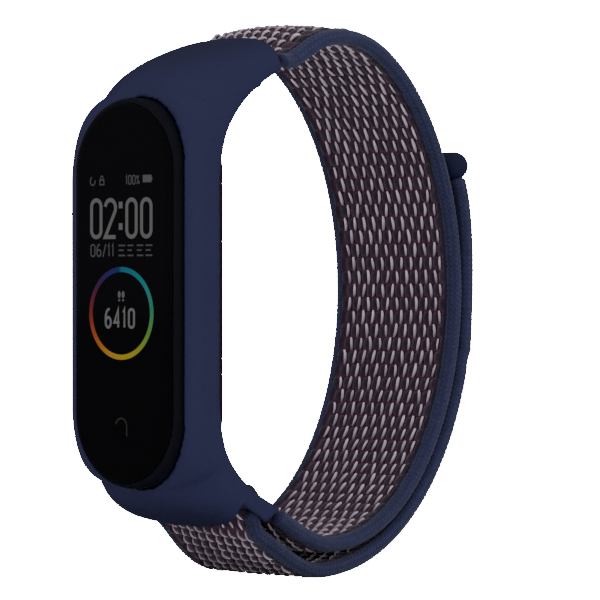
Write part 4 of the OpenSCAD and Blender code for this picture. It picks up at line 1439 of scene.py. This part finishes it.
def lit(name, glow, spread=0.06):
    """A lit picture element: its glow takes a point colour, dimmed a little by a fine grid."""
    material, n, shader = new_material(name, Roughness=0.3, Emission_Strength=glow)
    tint = n.add("ShaderNodeVertexColor", layer_name="glow_colour").outputs["Color"]
    place = n.add("ShaderNodeTexCoord").outputs["Object"]
    texture = group_node(n, moulded_grain_group, {"Vector": place, "Grain per m": 5200.0,
                                                  "Blotch per m": 1500.0})
    dim = n.add("ShaderNodeHueSaturation", {"Color": tint, "Value": 1 - spread})
    colour = n.mix(texture.outputs["Blotch"], dim.outputs[0], tint)
    n.join(colour, shader.inputs["Emission Color"])
    n.join(n.mix(texture.outputs["Blotch"], (0.004, 0.004, 0.005, 1), (0.01, 0.01, 0.012, 1)),
           shader.inputs["Base Color"])
    return material


RING_COLOURS = [(0, (36, 120, 140)), (45, (36, 140, 150)), (85, (50, 150, 110)), (120, (110, 160, 60)),
                (165, (190, 170, 40)), (200, (205, 150, 40)), (235, (190, 90, 40)), (270, (140, 45, 40)),
                (305, (80, 30, 70)), (335, (42, 34, 110)), (360, (32, 50, 120))]


class TRACKER_OT_screen(bpy.types.Operator):
    """The lit clock, date, step count and activity ring"""
    bl_idname = "tracker.screen"
    bl_label = "Screen picture"

    def execute(self, context):
        choice = context.scene.tracker_screen
        grey = np.array(choice.grey[:])
        marks = Inlay()
        marks.text("0", -5.4, 6.5, 2.15, 4.95, 0, 0.5, grey)
        marks.text("2", -3.02, 6.5, 2.3, 4.95, 0, 0.5, grey)
        marks.text(":", -0.42, 6.5, 0.5, 4.95, 0, 0.5, grey)
        marks.text("00", 0.72, 6.5, 2.12, 4.95, 0.42, 0.5, grey)
        small = grey * 0.55
        marks.text("06/11", -5.35, 4.35, 0.88, 1.6, 0.16, 0.2, small)
        self.words(marks, small)
        self.status(marks, small)
        marks.text("6410", -2.85, -4.25, 1.22, 2.5, 0.28, 0.34, grey * 1.15)
        for side in (-1, 1):
            marks.stroke(arc_points(side * 0.34, -0.15, 0.13, 0.3, 90, 440, 12), 0.24, grey * 0.9, True)
            marks.bar(side * 0.34 - 0.16, side * 0.34 + 0.16, -0.95, -0.7, grey * 0.9)
        marks.stroke([(-0.95, -17.1), (-0.95, -15.9)] + arc_points(0, -15.9, 0.95, 0.95, 180, 0)
                     + [(0.95, -17.1)], 0.2, grey * 0.2)
        material = lit("lit_marks", choice.glow)
        self.finished(marks, "screen_marks", material)
        ring = Inlay()
        turns = np.arange(0, 360, 4)
        line = [(5.25 * math.sin(math.radians(a)), -2.4 + 5.25 * math.cos(math.radians(a))) for a in turns]
        stops = [a for a, _ in RING_COLOURS]
        shades = np.array([srgb(*c) for _, c in RING_COLOURS])
        colours = np.column_stack([np.interp(turns, stops, shades[:, i]) for i in range(3)])
        ring.stroke(line, 0.62, colours * 0.55, True)
        self.finished(ring, "activity_ring", material)
        return {"FINISHED"}

    def finished(self, inlay, name, material):
        """One inlay with its glow colours, on the capsule."""
        piece = new_piece(name, inlay.points, inlay.faces, material, smooth=False)
        point_colour(piece.data, "glow_colour", np.array(inlay.colours))
        put_on(recalculated(piece), "capsule", "display_panel")

    def words(self, marks, colour):
        """Plain dashes where a short line of words stands beside the date."""
        for x, wide in ((-0.45, 1.15), (1.1, 1.0), (2.7, 1.1), (4.2, 1.15)):
            for level, share in ((5.62, 1.0), (5.05, 0.75), (4.42, 1.0)):
                marks.bar(x, x + wide * share, level, level + 0.2, colour)

    def status(self, marks, colour):
        """The moon, the padlock, the charge in percent and the battery."""
        marks.stroke(arc_points(-4.95, 13.5, 0.42, 0.5, 110, 370, 16), 0.17, colour)
        marks.stroke([(-3.7, 13.05), (-3.0, 13.05), (-3.0, 13.6), (-3.7, 13.6)], 0.17, colour, True)
        marks.stroke(arc_points(-3.35, 13.6, 0.24, 0.5, 180, 0, 9), 0.15, colour)
        x = marks.text("100", 0.72, 12.95, 0.62, 1.2, 0.08, 0.16, colour)
        marks.text("%", x, 12.95, 0.6, 1.2, 0, 0.13, colour)
        marks.bar(3.72, 5.2, 13.2, 14.1, colour * 1.3)
        marks.bar(5.2, 5.34, 13.45, 13.85, colour * 1.3)


# ---------------------------------------------------------------- what the capsule holds
INNER_FINISHES = {
    "glass_gasket": dict(colour=(16, 16, 17), roughness=0.75),
    "touch_film": dict(colour=(88, 92, 96), roughness=0.12, Coat_Weight=0.6),
    "display_panel": dict(colour=(9, 9, 13), roughness=0.14, blotch=400.0, Coat_Weight=0.5),
    "display_foam": dict(colour=(40, 40, 42), roughness=0.95, grain=3500.0, bump=0.00008),
    "display_flex": dict(colour=(176, 96, 28), roughness=0.35, blotch=700.0),
    "inner_frame": dict(colour=(168, 172, 176), roughness=0.38, Metallic=0.9),
    "battery_cell": dict(colour=(186, 189, 192), roughness=0.3, grain=2500.0, Metallic=0.85, bump=0.00004),
    "battery_guard_board": dict(colour=(18, 66, 40), roughness=0.42, blotch=1200.0, contrast=0.4),
    "main_board": dict(colour=(16, 62, 40), roughness=0.4, blotch=1500.0, contrast=0.45),
    "processor_chip": dict(colour=(22, 22, 24), roughness=0.55),
    "memory_chip": dict(colour=(26, 26, 28), roughness=0.58),
    "power_chip": dict(colour=(30, 29, 31), roughness=0.6),
    "motion_sensor_chip": dict(colour=(38, 38, 40), roughness=0.5),
    "shield_can": dict(colour=(178, 180, 184), roughness=0.28, Metallic=0.95),
    "antenna": dict(colour=(212, 164, 84), roughness=0.25, Metallic=0.95),
    "sensor_board": dict(colour=(18, 70, 44), roughness=0.42, blotch=1500.0, contrast=0.4),
    "sensor_flex": dict(colour=(182, 104, 32), roughness=0.35, blotch=700.0),
    "green_leds": dict(colour=(58, 190, 92), roughness=0.15, Coat_Weight=0.8),
    "photodiodes": dict(colour=(38, 46, 62), roughness=0.18, Coat_Weight=0.5),
    "light_barrier": dict(colour=(14, 14, 15), roughness=0.85),
    "charging_contacts": dict(colour=(214, 170, 96), roughness=0.22, Metallic=0.95),
    "contact_springs": dict(colour=(206, 158, 84), roughness=0.27, Metallic=0.95),
    "motor_can": dict(colour=(176, 178, 182), roughness=0.26, Metallic=0.95),
    "motor_cap": dict(colour=(150, 152, 156), roughness=0.32, Metallic=0.9),
    "motor_shaft": dict(colour=(196, 198, 202), roughness=0.16, Metallic=0.95),
    "motor_rotor": dict(colour=(122, 118, 112), roughness=0.4, Metallic=0.9, contrast=0.35),
    "motor_pad": dict(colour=(214, 212, 206), roughness=0.9, grain=3000.0),
}


class TRACKER_OT_inner_parts(bpy.types.Operator):
    """Finishes of the electronics, battery and motor inside the capsule"""
    bl_idname = "tracker.inner_parts"
    bl_label = "Inner parts"

    def execute(self, context):
        for node, look in INNER_FINISHES.items():
            values = dict(look)
            colour = srgb(*values.pop("colour"))
            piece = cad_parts[node]
            piece.data.materials.clear()
            piece.data.materials.append(grained(node + "_finish", colour, **values))
        return {"FINISHED"}


# ---------------------------------------------------------------- panel and running order
OPERATORS = (TRACKER_OT_studio, TRACKER_OT_holder, TRACKER_OT_inner_strap, TRACKER_OT_outer_strap,
             TRACKER_OT_edge_cords, TRACKER_OT_fastener_tapes, TRACKER_OT_tip_bar, TRACKER_OT_anchor_thread,
             TRACKER_OT_capsule_shells, TRACKER_OT_screen, TRACKER_OT_inner_parts)


class TRACKER_PT_panel(bpy.types.Panel):
    """Lists the tracker's settings and the steps that build it"""
    bl_label = "Fitness tracker"
    bl_idname = "TRACKER_PT_panel"
    bl_space_type = "VIEW_3D"
    bl_region_type = "UI"
    bl_category = "Tracker"

    def draw(self, context):
        for settings in (context.scene.tracker_holder, context.scene.tracker_strap,
                         context.scene.tracker_screen):
            for name in settings.bl_rna.properties.keys():
                if name not in ("rna_type", "name"):
                    self.layout.prop(settings, name)
        for step in OPERATORS:
            self.layout.operator(step.bl_idname)


SETTINGS = {"tracker_holder": HolderSettings, "tracker_strap": StrapSettings,
            "tracker_screen": ScreenSettings}
CLASSES = tuple(SETTINGS.values()) + OPERATORS + (TRACKER_PT_panel,)


def register():
    for made in CLASSES:
        bpy.utils.register_class(made)
    for name, group in SETTINGS.items():
        setattr(bpy.types.Scene, name, bpy.props.PointerProperty(type=group))


def unregister():
    for name in SETTINGS:
        delattr(bpy.types.Scene, name)
    for made in reversed(CLASSES):
        bpy.utils.unregister_class(made)


def main():
    register()
    for step in OPERATORS:
        area, name = step.bl_idname.split(".")
        getattr(getattr(bpy.ops, area), name)()


if __name__ == "__main__":
    main()
